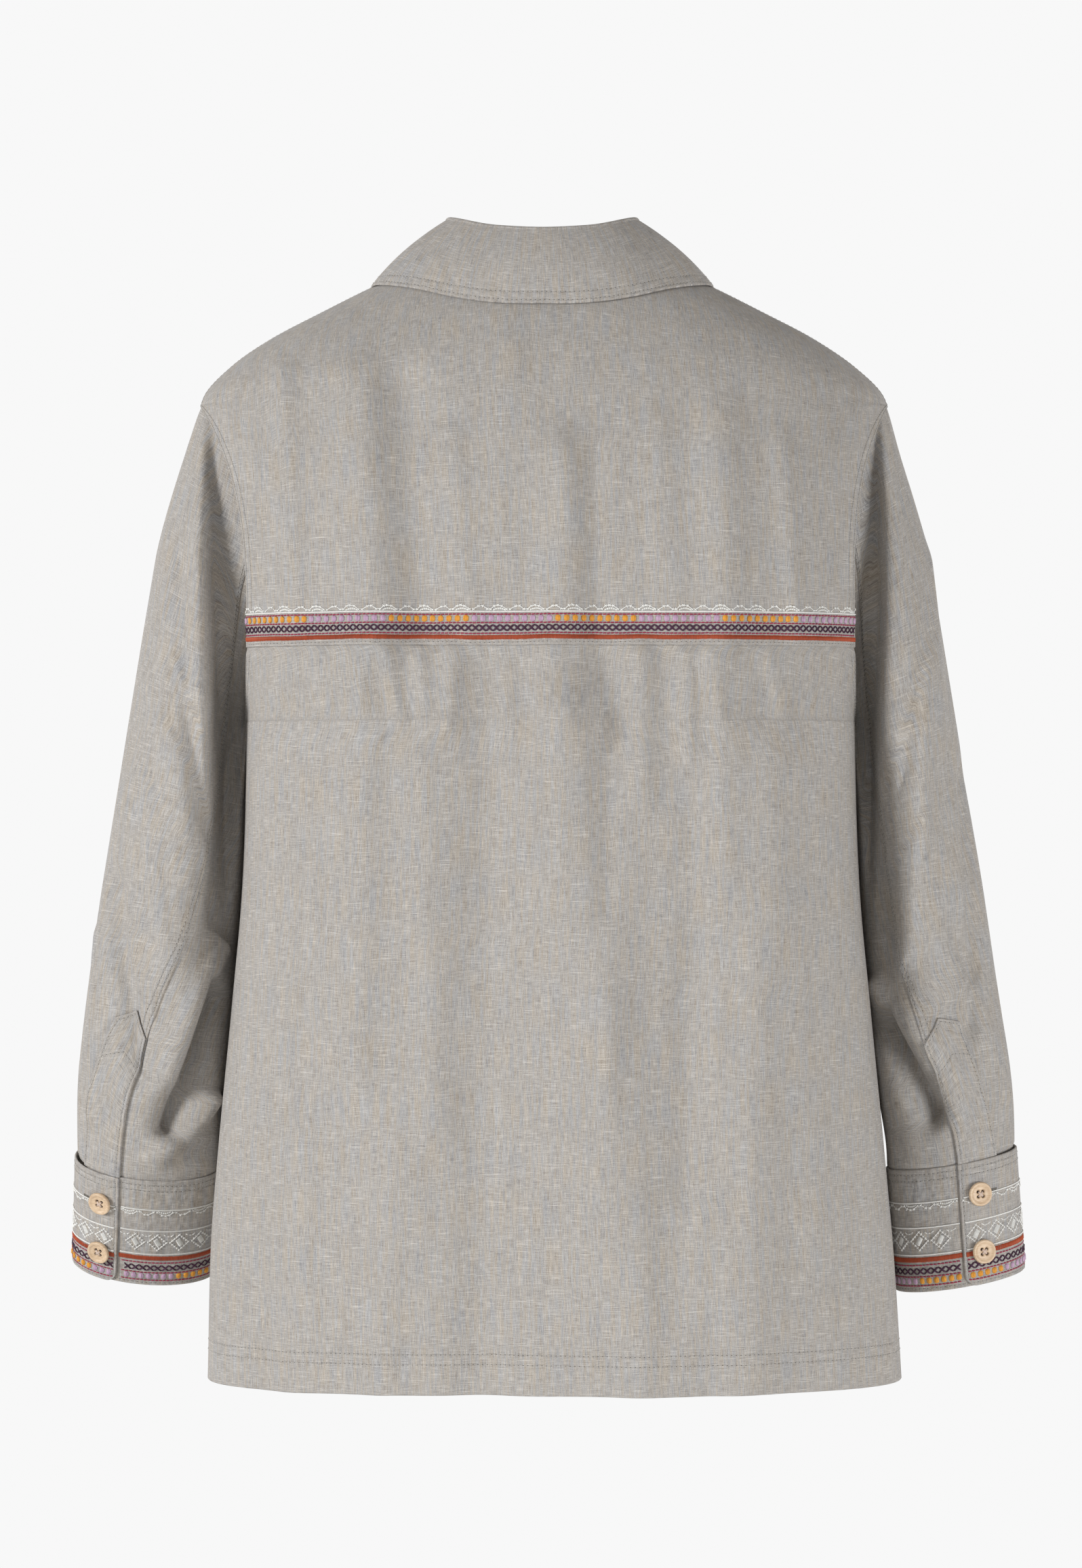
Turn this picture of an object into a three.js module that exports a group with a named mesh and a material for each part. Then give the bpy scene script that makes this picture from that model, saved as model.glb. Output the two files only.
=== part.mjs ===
import * as THREE from 'three';

// A long-sleeved shirt jacket of linen, filled out as if worn, with nobody in it.
// Millimetres, +Z up. The back faces +Y and the wearer's left is +X.
// The origin is in the middle of the neck, level with the tops of the shoulder seams.

// Driving dimensions
const WALL = 1.5;                 // thickness of the cloth
const SEAM_GAP = 0.4;             // clear space between two pieces at a seam
const LAYER = 1.9;                // from one layer of cloth to the next that lies on it
const NECK_HALF = 75;             // half the width of the neck hole
const BACK_NECK_Z = -20;
const FRONT_NECK_Z = -75;
const TIP_HALF = 224;             // shoulder tips, half the distance between them
const TIP_Z = -93;
const UNDERARM_HALF = 198;
const UNDERARM_Z = -300;
const ARMHOLE_DEPTH = 61;         // half the armhole, front to back
const ARMHOLE_NARROW = 192;       // half the width across the back between the armholes
const YOKE_Z = -252;              // seam between yoke and back
const HEM_Z = -728;
const BAND_WIDTH = 32;            // front band
const CUFF_HEIGHT = 80;
const CUFF_LAP = 34;              // degrees of the cuff that lie double
const PLACKET_LIFT = 2.6;         // from the sleeve to the placket, wall middle to middle
const TOWER_TIP = 0.45;           // rise of the placket above its last full row, in rows
const TOWER_SHOULDER = 0.1;
const STAND_TOP = 4;              // the stand ends this far below the top of the collar
const COLLAR_ROLL = 1.7;          // radius of the fold at the top of the collar
const BUTTON_RADIUS = 8;
const BUTTON_THICK = 3;
const FRONT_BUTTONS = 7;
const FIRST_BUTTON_Z = -100;
const LAST_BUTTON_Z = -640;
const CUFF_BUTTON_SHARES = [21 / CUFF_HEIGHT, 59 / CUFF_HEIGHT];
const CUFF_BUTTON_INSET = 12;     // from the free edge of the cuff to the middle of its buttons
const BUTTON_SEAT = WALL / 2 + 0.45;
const UNDERLAP_SHORT = 1;         // the left front ends this far inside the edge of the band

// Profile of a turned button, in shares of its radius and its thickness, from its flat back
const buttonProfile = [
  { radius: 0, height: 0 },
  { radius: 0.9, height: 0 },
  { radius: 1, height: 0.45 },
  { radius: 0.9, height: 1 },
  { radius: 0.68, height: 0.75 },
  { radius: 0, height: 0.7 },
];

// The shoulder seam, from the neck to the tip
const shoulderLine = [
  { z: 0, half: NECK_HALF },
  { z: -15, half: 109 },
  { z: -33, half: 145 },
  { z: -51, half: 179 },
  { z: -68, half: 203.5 },
  { z: -86, half: 221 },
  { z: TIP_Z, half: TIP_HALF },
];

// The side seam, from the underarm to the hem
const sideLine = [
  { z: UNDERARM_Z, half: UNDERARM_HALF },
  { z: -355, half: 199 },
  { z: -404, half: 201 },
  { z: -493, half: 209 },
  { z: -582, half: 217.6 },
  { z: -648, half: 223 },
  { z: HEM_Z, half: 226.5 },
];

// Depth of the body on its centre lines, the roundness of its sections and its lean to one side
const backLine = [
  { z: -20, y: 58 },
  { z: -42, y: 75 },
  { z: -93, y: 97 },
  { z: -150, y: 108 },
  { z: -250, y: 113 },
  { z: -355, y: 112 },
  { z: -500, y: 109 },
  { z: HEM_Z, y: 106 },
];
const frontLine = [
  { z: -75, y: 68 },
  { z: -93, y: 80 },
  { z: -150, y: 105 },
  { z: -250, y: 122 },
  { z: -355, y: 118 },
  { z: -500, y: 110 },
  { z: HEM_Z, y: 106 },
];
const sectionPower = [
  { z: 0, power: 2 },
  { z: -93, power: 2.2 },
  { z: -150, power: 2.7 },
  { z: -220, power: 3 },
  { z: -300, power: 2.9 },
  { z: -500, power: 2.6 },
  { z: HEM_Z, power: 2.4 },
];
const leanLine = [
  { z: -60, x: 0 },
  { z: -240, x: -5.3 },
  { z: -600, x: -5.8 },
  { z: HEM_Z, x: -8 },
];

// Largest folds of the back, each a soft ridge (or trough, where its height is negative)
// from one point of the back to another, seen from behind
const backFolds = [
  { x0: 168, z0: -75, x1: 166, z1: -235, width: 9, height: 2.5 },
  { x0: 120, z0: -80, x1: 112, z1: -245, width: 18, height: 4 },
  { x0: 88, z0: -90, x1: 80, z1: -240, width: 16, height: -3 },
  { x0: -8, z0: -130, x1: -8, z1: -300, width: 18, height: 3.5 },
  { x0: -112, z0: -110, x1: -108, z1: -400, width: 15, height: 3 },
  { x0: 124, z0: -262, x1: 128, z1: -520, width: 20, height: 4 },
  { x0: 36, z0: -270, x1: 46, z1: -730, width: 20, height: -4 },
  { x0: -14, z0: -300, x1: -58, z1: -740, width: 24, height: 5 },
  { x0: -57, z0: -258, x1: -58, z1: -350, width: 9, height: 2.5 },
  { x0: -142, z0: -330, x1: -118, z1: -740, width: 22, height: 3.5 },
  { x0: 165, z0: -480, x1: 172, z1: -740, width: 22, height: 3 },
];

const FOLD_EDGE = 193;            // the folds end this far from the middle
const FOLD_FADE = 28;
const BLADE_ROWS = 0.14;          // rows over which the turn over the shoulder blades is softened
const BLADE_START = 0.04;         // shares of the way round at which this softening comes in
const BLADE_FULL = 0.3;

// Similar folds of the front
const frontFolds = [
  { x0: 105, z0: -150, x1: 92, z1: -420, width: 20, height: 4 },
  { x0: -108, z0: -150, x1: -84, z1: -460, width: 20, height: 4 },
  { x0: 70, z0: -430, x1: 112, z1: -740, width: 24, height: 4.5 },
  { x0: -64, z0: -400, x1: -122, z1: -740, width: 24, height: 4.5 },
  { x0: 150, z0: -330, x1: 160, z1: -740, width: 20, height: -3 },
  { x0: -150, z0: -330, x1: -160, z1: -740, width: 20, height: -3 },
];

// The outer edge of a hanging sleeve, from the shoulder tip down
const sleeveOuter = [
  { z: TIP_Z, x: 224 },
  { z: -104, x: 230 },
  { z: -133, x: 239 },
  { z: -177, x: 250 },
  { z: -222, x: 258 },
  { z: -288, x: 269 },
  { z: -355, x: 280 },
  { z: -422, x: 291 },
  { z: -488, x: 300 },
  { z: -555, x: 306 },
  { z: -590, x: 307 },
];

// One sleeve on each side. Sections are given by the share of the way from the armhole
// to the cuff; round a section, 0 degrees is outermost, 90 the back and 180 next to the body.
const sleeves = {
  left: {
    side: 1,
    cuffTop: [260, -30, -589],
    cuffEnd: [265, -67, -660],
    cuffHalf: 47,
    cuffDepth: 26,
    cuffTilt: 5,
    lapEdge: 69,
    sections: [
      { way: 0, depth: 61, centre: 0, backSeam: 88 },
      { way: 0.3, depth: 58, centre: -4, backSeam: 112 },
      { way: 0.55, depth: 54, centre: -8, backSeam: 108 },
      { way: 0.75, depth: 44, centre: -14, backSeam: 90 },
      { way: 0.88, depth: 34, centre: -21, backSeam: 76 },
      { way: 1, depth: 26.5, centre: -30, backSeam: 69 },
    ],
    folds: [
      { way0: 0.16, turn0: 62, way1: 0.4, turn1: 150, width: 15, height: -7 },
      { way0: 0.52, turn0: 150, way1: 0.82, turn1: 104, width: 10, height: 7 },
      { way0: 0.6, turn0: 165, way1: 0.9, turn1: 118, width: 10, height: -12 },
      { way0: 0.62, turn0: 38, way1: 0.82, turn1: 80, width: 13, height: -5 },
      { way0: 0.84, turn0: 150, way1: 0.96, turn1: 100, width: 8, height: 5 },
    ],
  },
  right: {
    side: -1,
    cuffTop: [-269, -16, -586],
    cuffEnd: [-275, -23, -665.5],
    cuffHalf: 42,
    cuffDepth: 33,
    cuffTilt: 10,
    lapEdge: 88,
    sections: [
      { way: 0, depth: 61, centre: 0, backSeam: 88 },
      { way: 0.3, depth: 58, centre: -4, backSeam: 126 },
      { way: 0.55, depth: 54, centre: -8, backSeam: 126 },
      { way: 0.75, depth: 46, centre: -11, backSeam: 108 },
      { way: 0.88, depth: 40, centre: -13, backSeam: 96 },
      { way: 1, depth: 33.5, centre: -16, backSeam: 88 },
    ],
    folds: [
      { way0: 0.3, turn0: 60, way1: 0.6, turn1: 120, width: 16, height: 4 },
      { way0: 0.66, turn0: 190, way1: 0.9, turn1: 112, width: 10, height: -12 },
      { way0: 0.6, turn0: 160, way1: 0.8, turn1: 100, width: 13, height: 5 },
      { way0: 0.5, turn0: 20, way1: 0.8, turn1: 60, width: 12, height: -4 },
    ],
  },
};
const PIECE_WIDTH = 130;          // a mean width of a sleeve piece, for the gaps at its seams
const SLEEVE_RADIUS = 48;         // a mean radius, for distances round a sleeve
const SLEEVE_LENGTH = 490;        // from the armhole to the cuff along the outer edge
const FRONT_SEAM_TURN = 240;      // where the hidden seam of the sleeve runs, in degrees
const BACK_SEAM_TURN = 80;        // the seam meets the armhole at the next corner past this
const SLEEVE_CLEAR = 3;           // from the side of the body to the sleeve, wall middle to middle
const SLEEVE_END = 1 - SEAM_GAP / 290;  // share of the way at which the cloth ends above the cuff
const ARMHOLE_WAY = 0.2;          // the sleeve leaves the line of the armhole over this share
const SEAM_SETTLE_WAY = 0.25;     // and its seams leave the armhole's corners over this one
const CUFF_SETTLE_WAY = 0.7;      // from here down it takes up the tilt of the cuff
const FOLD_END_WAY = 0.93;        // its folds fade out from here down
const ARMHOLE_GAP = 0.3;          // from the body's edge to the first ring of the sleeve
const ARMHOLE_DROP = 0.7;         // how much lower the ring starts at the shoulder tip
const CLEFT_TURN = 138;           // the hollow of the sleeve beside the back
const CLEFT_SPREAD = 26;
const PLACKET_COLUMNS = [3, 2, 1.5, 1, 0];  // columns of the top sleeve, counted from its seam
const PLACKET_ROWS = 4;
const LAP_RISE = 330;             // degrees round the cuff at which its end starts to lift
const LAP_TOP = 350;              // and, further on by the free part of the lap, is up
const cleftDepth = [
  { way: 0, deep: 0 },
  { way: 0.14, deep: 13 },
  { way: 0.45, deep: 13 },
  { way: 0.65, deep: 6 },
  { way: 0.85, deep: 0 },
  { way: 1, deep: 0 },
];

// The top fold of the collar, from the middle of the back to its front end
// (its first row mirrors the third, so that the fold crosses the middle of the back level)
const rollLine = [
  { share: -0.2, x: -29, y: 44, z: 20.5 },
  { share: 0, x: 0, y: 50, z: 18.5 },
  { share: 0.2, x: 29, y: 44, z: 20.5 },
  { share: 0.4, x: 54, y: 22, z: 27.5 },
  { share: 0.5, x: 59.5, y: 2, z: 30 },
  { share: 0.65, x: 55, y: -25, z: 18 },
  { share: 0.85, x: 33, y: -53, z: -20 },
  { share: 1, x: 8, y: -65, z: -47 },
];

// Where the edge of the leaf lies: the row of the body, and the share of the way round it from
// the shoulder seam to the centre line, more than 0 on the back and less on the front
const leafEdge = [
  { share: 0, row: 0.17, round: 1 },
  { share: 0.18, row: 0.185, round: 0.74 },
  { share: 0.28, row: 0.18, round: 0.6 },
  { share: 0.4, row: 0.165, round: 0.37 },
  { share: 0.52, row: 0.17, round: 0 },
  { share: 0.62, row: 0.25, round: -0.25 },
  { share: 0.72, row: 0.46, round: -0.43 },
  { share: 0.81, row: 0.74, round: -0.56 },
  { share: 0.86, row: 0.94, round: -0.617 },
  { share: 0.91, row: 1.13, round: -0.65 },
  { share: 1, row: 1.278, round: -0.665 },
];
const LEAF_LIFT = 2.7;            // from the body to the edge of the leaf, wall middle to middle
const LEAF_BULGE = 6;
const LEAF_TURN = 0.2;            // share of the fall that the half circle of the fold takes
const LEAF_FALLS = [0, 0.07, 0.13, LEAF_TURN, 0.36, 0.52, 0.68, 0.84, 1];
const STAND_INSET = 0.7;          // from the neck edge in to the foot of the stand, and up to it
const STAND_RISE = 0.8;
const NECK_END = 0.98;            // the stand ends at this share of each front's neck edge

// How finely the pieces are divided
const GRID = {
  backColumns: 42,
  yokeNeckRows: 4,
  yokeArmRows: 6,
  backArmRows: 3,
  backRows: 9,
  frontColumns: 12,
  frontArmRows: 9,
  frontRows: 7,
  sleeveRows: 14,
  cuffColumns: 34,
  collarColumns: 40,
  buttonSides: 14,
  bandColumns: 4,
  cuffRows: 2,
  standRows: 2,
};
const SLOPE_STEP = 1e-4;          // for slopes of a surface
const LONG_STEP = 1e-3;
const ROLL_STEP = 0.01;
const SECTION_SAMPLES = 96;

const cloth = { color: 0xaaa69e, roughness: 0.92, metalness: 0 };
const wood = { color: 0xc9a881, roughness: 0.55, metalness: 0 };

// Reads one column of a table against another, smoothly and with no overshoot
function column(table, key, value) {
  const rows = [...table].sort((a, b) => a[key] - b[key]);
  const xs = rows.map((row) => row[key]);
  const ys = rows.map((row) => row[value]);
  const steps = xs.slice(1).map((x, i) => (ys[i + 1] - ys[i]) / (x - xs[i]));
  const slopes = xs.map((x, i) => {
    if (i === 0) return steps[0];
    if (i === xs.length - 1) return steps[i - 1];
    const product = steps[i - 1] * steps[i];
    return product <= 0 ? 0 : (2 * product) / (steps[i - 1] + steps[i]);
  });
  return (x) => {
    const at = THREE.MathUtils.clamp(x, xs[0], xs[xs.length - 1]);
    let i = 0;
    while (i < xs.length - 2 && at > xs[i + 1]) i += 1;
    const span = xs[i + 1] - xs[i];
    const t = (at - xs[i]) / span;
    const rise = ys[i + 1] - ys[i];
    const start = slopes[i] * span;
    const end = slopes[i + 1] * span;
    return ys[i] + t * start + t * t * (3 * rise - 2 * start - end) + t ** 3 * (start + end - 2 * rise);
  };
}

const shoulderHalf = column(shoulderLine, 'z', 'half');
const sideHalf = column(sideLine, 'z', 'half');
const backDepth = column(backLine, 'z', 'y');
const frontDepth = column(frontLine, 'z', 'y');
const powerAt = column(sectionPower, 'z', 'power');
const leanAt = column(leanLine, 'z', 'x');
const outerAt = column(sleeveOuter, 'z', 'x');
const cleftAt = column(cleftDepth, 'way', 'deep');

const smooth = (x, from, to) => THREE.MathUtils.smoothstep(x, from, to);
const radians = THREE.MathUtils.degToRad;
const share = (i, n) => i / n;

// Height of a soft ridge at a point: full on the line between its two ends, and falling away
// from it as a bell curve of the given width
function ridge(px, py, ax, ay, bx, by, width, height) {
  const dx = bx - ax;
  const dy = by - ay;
  const along = ((px - ax) * dx + (py - ay) * dy) / (dx * dx + dy * dy);
  const t = THREE.MathUtils.clamp(along, 0, 1);
  const away = Math.hypot(px - ax - t * dx, py - ay - t * dy) / width;
  return height * Math.exp(-away * away);
}

// Armhole: the turn goes from 0 at the shoulder tip to pi at the underarm
function armholeEdge(turn) {
  const high = (1 + Math.cos(turn)) / 2;
  const low = 1 - high;
  const x = ARMHOLE_NARROW + (TIP_HALF - ARMHOLE_NARROW) * high ** 4
    + (UNDERARM_HALF - ARMHOLE_NARROW) * low ** 2;
  const z = UNDERARM_Z + (TIP_Z - UNDERARM_Z) * high;
  return { x, y: ARMHOLE_DEPTH * Math.sin(turn), z };
}

// A row of the body runs from its edge to the centre line. Rows 0 to 1 go from the neck to the
// shoulder tip, with their edge on the shoulder seam; 1 to 2 follow the armhole; 2 to 3 go
// from the underarm to the hem, with their edge on the side seam.
function rowEdge(row, face) {
  if (row < 1) {
    const z = TIP_Z * row;
    const neck = face > 0 ? BACK_NECK_Z : FRONT_NECK_Z;
    return { x: shoulderHalf(z), y: 0, z, centreZ: TIP_Z * row + neck * (1 - row) };
  }
  if (row < 2) {
    const edge = armholeEdge((row - 1) * Math.PI);
    return { ...edge, centreZ: edge.z };
  }
  const z = THREE.MathUtils.lerp(UNDERARM_Z, HEM_Z, row - 2);
  return { x: sideHalf(z), y: 0, z, centreZ: z };
}

// The row of the armhole at a height
const armRow = (z) => 1 + Math.acos(1 - 2 * (TIP_Z - z) / (TIP_Z - UNDERARM_Z)) / Math.PI;

// Half of a section: a superellipse through the edge and the centre, at equal steps of length
const rowCache = new Map();
function rowCurve(row, face) {
  const name = `${face}:${row}`;
  if (rowCache.has(name)) return rowCache.get(name);
  const edge = rowEdge(row, face);
  const depth = face > 0 ? backDepth(edge.centreZ) : frontDepth(edge.centreZ);
  const power = powerAt(edge.centreZ);
  const half = edge.x / (1 - (edge.y / depth) ** power) ** (1 / power);
  const first = Math.atan2(edge.y, edge.x);
  const points = [];
  for (let i = 0; i <= SECTION_SAMPLES; i += 1) {
    const angle = THREE.MathUtils.lerp(first, Math.PI / 2, share(i, SECTION_SAMPLES));
    const cos = Math.max(Math.cos(angle), 0);
    const radius = ((cos / half) ** power + (Math.sin(angle) / depth) ** power) ** (-1 / power);
    points.push([radius * cos, radius * Math.sin(angle)]);
  }
  const lengths = [0];
  for (let i = 1; i <= SECTION_SAMPLES; i += 1) {
    const step = Math.hypot(points[i][0] - points[i - 1][0], points[i][1] - points[i - 1][1]);
    lengths.push(lengths[i - 1] + step);
  }
  const curve = { edge, points, lengths, length: lengths[SECTION_SAMPLES] };
  rowCache.set(name, curve);
  return curve;
}

// A point of the body before it is softened: side 1 is the wearer's left, face 1 the back;
// round goes from 0 at the edge of the row to 1 on the centre line
function sectionPoint(side, face, row, round) {
  const curve = rowCurve(row, face);
  const target = THREE.MathUtils.clamp(round, 0, 1) * curve.length;
  let i = 0;
  while (i < SECTION_SAMPLES - 1 && curve.lengths[i + 1] < target) i += 1;
  const t = (target - curve.lengths[i]) / (curve.lengths[i + 1] - curve.lengths[i]);
  const x = THREE.MathUtils.lerp(curve.points[i][0], curve.points[i + 1][0], t);
  const y = THREE.MathUtils.lerp(curve.points[i][1], curve.points[i + 1][1], t);
  const drop = (1 - Math.cos(Math.PI * Math.min(round, 1))) / 2;
  const z = THREE.MathUtils.lerp(curve.edge.z, curve.edge.centreZ, drop);
  return new THREE.Vector3(side * x, face * y, z);
}

// A point of the body: the sections, with the turn over the shoulder blades taken as the mean
// of the rows around it, away from the seams, and with the folds and the lean added
function bodyPoint(side, face, row, round) {
  const point = sectionPoint(side, face, row, round);
  const near = Math.max(0, 1 - Math.abs(row - 1) / (2 * BLADE_ROWS));
  const soften = near * smooth(round, BLADE_START, BLADE_FULL);
  if (soften > 0) {
    const above = sectionPoint(side, face, row - BLADE_ROWS, round);
    const below = sectionPoint(side, face, row + BLADE_ROWS, round);
    point.lerp(above.add(below).multiplyScalar(0.5), soften);
  }
  const folds = face > 0 ? backFolds : frontFolds;
  const { x, y, z } = point;
  let lift = 0;
  for (const f of folds) lift += ridge(x, z, f.x0, f.z0, f.x1, f.z1, f.width, f.height);
  const fade = 1 - smooth(Math.abs(x), FOLD_EDGE - FOLD_FADE, FOLD_EDGE);
  return new THREE.Vector3(x + leanAt(z), y + face * lift * fade, z);
}

// A closed wall of cloth over a grid of points, half its thickness to each side. The surface
// is a function of two numbers, and normals come from its slopes.
function wall(name, surface, us, vs, { flip = 1, lift = 0, material = cloth } = {}) {
  const step = SLOPE_STEP;
  const low = { u: Math.min(...us), v: Math.min(...vs) };
  const high = { u: Math.max(...us), v: Math.max(...vs) };
  const outer = [];
  const inner = [];
  for (const v of vs) {
    for (const u of us) {
      const p = surface(u, v);
      const pu = surface(Math.min(u + step, high.u), v).sub(surface(Math.max(u - step, low.u), v));
      const pv = surface(u, Math.min(v + step, high.v)).sub(surface(u, Math.max(v - step, low.v)));
      const normal = pu.cross(pv).normalize().multiplyScalar(flip);
      outer.push(p.clone().addScaledVector(normal, lift + WALL / 2));
      inner.push(p.clone().addScaledVector(normal, lift - WALL / 2));
    }
  }
  const width = us.length;
  const count = outer.length;
  const faces = [];
  const quad = (a, b, c, d) => {
    if (flip > 0) faces.push(a, b, c, a, c, d);
    else faces.push(a, c, b, a, d, c);
  };
  for (let j = 0; j + 1 < vs.length; j += 1) {
    for (let i = 0; i + 1 < width; i += 1) {
      const a = j * width + i;
      quad(a, a + 1, a + width + 1, a + width);
      quad(count + a, count + a + width, count + a + width + 1, count + a + 1);
    }
  }
  const rim = [];
  for (let i = 0; i + 1 < width; i += 1) rim.push(i);
  for (let j = 0; j + 1 < vs.length; j += 1) rim.push(j * width + width - 1);
  for (let i = width - 1; i > 0; i -= 1) rim.push((vs.length - 1) * width + i);
  for (let j = vs.length - 1; j > 0; j -= 1) rim.push(j * width);
  rim.forEach((a, i) => {
    const b = rim[(i + 1) % rim.length];
    quad(a, count + a, count + b, b);
  });
  const geometry = new THREE.BufferGeometry().setFromPoints([...outer, ...inner]);
  geometry.setIndex(faces);
  geometry.computeVertexNormals();
  return mesh(name, geometry, material);
}

function mesh(name, geometry, material) {
  const made = new THREE.Mesh(geometry, new THREE.MeshStandardMaterial(material));
  made.name = name;
  return made;
}

const steps = (from, to, n) => Array.from({ length: n + 1 }, (_, i) => from + (to - from) * share(i, n));

// Rows on both sides of a seam at a height on the armhole, half the gap away from it
const YOKE_ROW = armRow(YOKE_Z);
const ROW_TRIM = YOKE_ROW - armRow(YOKE_Z + SEAM_GAP / 2);
const trimRound = (row, face) => SEAM_GAP / 2 / rowCurve(row, face).length;

// Across the back, from the wearer's right (-1) over the centre (0) to the left (1)
function backPoint(across, row) {
  const side = across < 0 ? -1 : 1;
  const edge = trimRound(row, 1);
  return bodyPoint(side, 1, row, 1 - Math.abs(across) * (1 - edge));
}

function yoke() {
  const rows = [
    ...steps(0, 1, GRID.yokeNeckRows).slice(0, -1),
    ...steps(1, YOKE_ROW - ROW_TRIM, GRID.yokeArmRows),
  ];
  return wall('yoke', backPoint, steps(-1, 1, GRID.backColumns), rows);
}

function back() {
  const rows = [
    ...steps(YOKE_ROW + ROW_TRIM, 2, GRID.backArmRows).slice(0, -1),
    ...steps(2, 3, GRID.backRows),
  ];
  return wall('back', backPoint, steps(-1, 1, GRID.backColumns), rows);
}

// Across the front by the share of the panel's width, from its seam to its free edge, which lies
// past the centre line by so many millimetres
function frontPoint(side, past) {
  return (across, row) => {
    const { length } = rowCurve(row, -1);
    const start = trimRound(row, -1);
    const round = start + (1 + past / length - start) * across;
    return round <= 1 ? bodyPoint(side, -1, row, round) : bodyPoint(-side, -1, row, 2 - round);
  };
}

const frontRows = [
  ...steps(0, 1, GRID.yokeNeckRows).slice(0, -1),
  ...steps(1, 2, GRID.frontArmRows).slice(0, -1),
  ...steps(2, 3, GRID.frontRows),
];

function fronts() {
  const columns = steps(0, 1, GRID.frontColumns);
  const under = frontPoint(1, BAND_WIDTH / 2 - UNDERLAP_SHORT);
  const over = frontPoint(-1, -BAND_WIDTH / 2);
  return [
    wall('front_left', under, columns, frontRows),
    wall('front_right', over, columns, frontRows, { flip: -1 }),
  ];
}

// A point on the front at so many millimetres from the centre line, towards the wearer's left
function frontMiddle(x, row) {
  const { length } = rowCurve(row, -1);
  return bodyPoint(x < 0 ? -1 : 1, -1, row, 1 - Math.abs(x) / length);
}

function frontBand() {
  const half = BAND_WIDTH / 2;
  const columns = steps(-half, half, GRID.bandColumns);
  return wall('front_band', frontMiddle, columns, frontRows, { flip: -1, lift: LAYER });
}

// The frame of a cuff: its two half axes and the way down it
function cuffFrame(sleeve) {
  const top = new THREE.Vector3(...sleeve.cuffTop);
  const down = new THREE.Vector3(...sleeve.cuffEnd).sub(top);
  const tilt = radians(sleeve.cuffTilt);
  const out = new THREE.Vector3(sleeve.side * Math.cos(tilt), 0, Math.sin(tilt));
  const rear = new THREE.Vector3().crossVectors(down, out).normalize().multiplyScalar(-sleeve.side);
  if (rear.y < 0) rear.negate();
  return { top, down, out, rear };
}

// A point of a sleeve: way goes from 0 at the armhole to 1 at the cuff, turn is in degrees
function sleevePoint(sleeve) {
  const frame = cuffFrame(sleeve);
  const depthAt = column(sleeve.sections, 'way', 'depth');
  const centreAt = column(sleeve.sections, 'way', 'centre');
  const endOuter = frame.top.clone().addScaledVector(frame.out, sleeve.cuffHalf);
  const endInner = frame.top.clone().addScaledVector(frame.out, -sleeve.cuffHalf);
  return (turn, way, hole) => {
    const angle = radians(turn);
    const cos = Math.cos(angle);
    const sin = Math.sin(angle);
    const outerZ = THREE.MathUtils.lerp(TIP_Z, endOuter.z, way);
    const innerZ = THREE.MathUtils.lerp(UNDERARM_Z, endInner.z, way);
    const settle = smooth(way, CUFF_SETTLE_WAY, 1);
    const outerX = THREE.MathUtils.lerp(outerAt(outerZ), Math.abs(endOuter.x), settle ** 2);
    const bodySide = sideHalf(innerZ) + sleeve.side * leanAt(innerZ);
    const innerX = THREE.MathUtils.lerp(bodySide + SLEEVE_CLEAR, Math.abs(endInner.x), settle);
    const middle = new THREE.Vector3(
      sleeve.side * (outerX + innerX) / 2, centreAt(way), (outerZ + innerZ) / 2);
    const half = new THREE.Vector3(sleeve.side * (outerX - innerX) / 2, 0, (outerZ - innerZ) / 2);
    const rear = new THREE.Vector3(0, 1, 0).lerp(frame.rear, settle);
    const point = middle.clone().addScaledVector(half, cos).addScaledVector(rear, depthAt(way) * sin);
    // at the armhole the section follows the edge of the body, a little way off it
    const ease = 1 - smooth(way, 0, ARMHOLE_WAY);
    if (ease > 0) {
      const inner = (1 - cos) / 2;
      const gapX = ARMHOLE_GAP + (SLEEVE_CLEAR - ARMHOLE_GAP) * inner + Math.abs(sin);
      const gapZ = -ARMHOLE_GAP - ARMHOLE_DROP * (1 - inner);
      const gap = new THREE.Vector3(sleeve.side * gapX, 0, gapZ);
      point.lerp(hole.clone().add(gap), ease);
    }
    // folds push the wall in or out along the line from the middle of the section
    const outwards = point.clone().sub(middle).setComponent(2, 0).normalize();
    const off = (cleft(turn) * -cleftAt(way) + foldsOf(sleeve, turn, way)) * (1 - ease);
    return point.addScaledVector(outwards, off * (1 - smooth(way, FOLD_END_WAY, 1)));
  };
}

const cleft = (turn) => Math.exp(-(((turn - CLEFT_TURN) / CLEFT_SPREAD) ** 2));

function foldsOf(sleeve, turn, way) {
  const round = (degrees) => radians(degrees) * SLEEVE_RADIUS;
  const down = (part) => part * SLEEVE_LENGTH;
  let sum = 0;
  for (const f of sleeve.folds) {
    const from = [round(f.turn0), down(f.way0)];
    const to = [round(f.turn1), down(f.way1)];
    sum += ridge(round(turn), down(way), ...from, ...to, f.width, f.height);
  }
  return sum;
}

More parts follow.
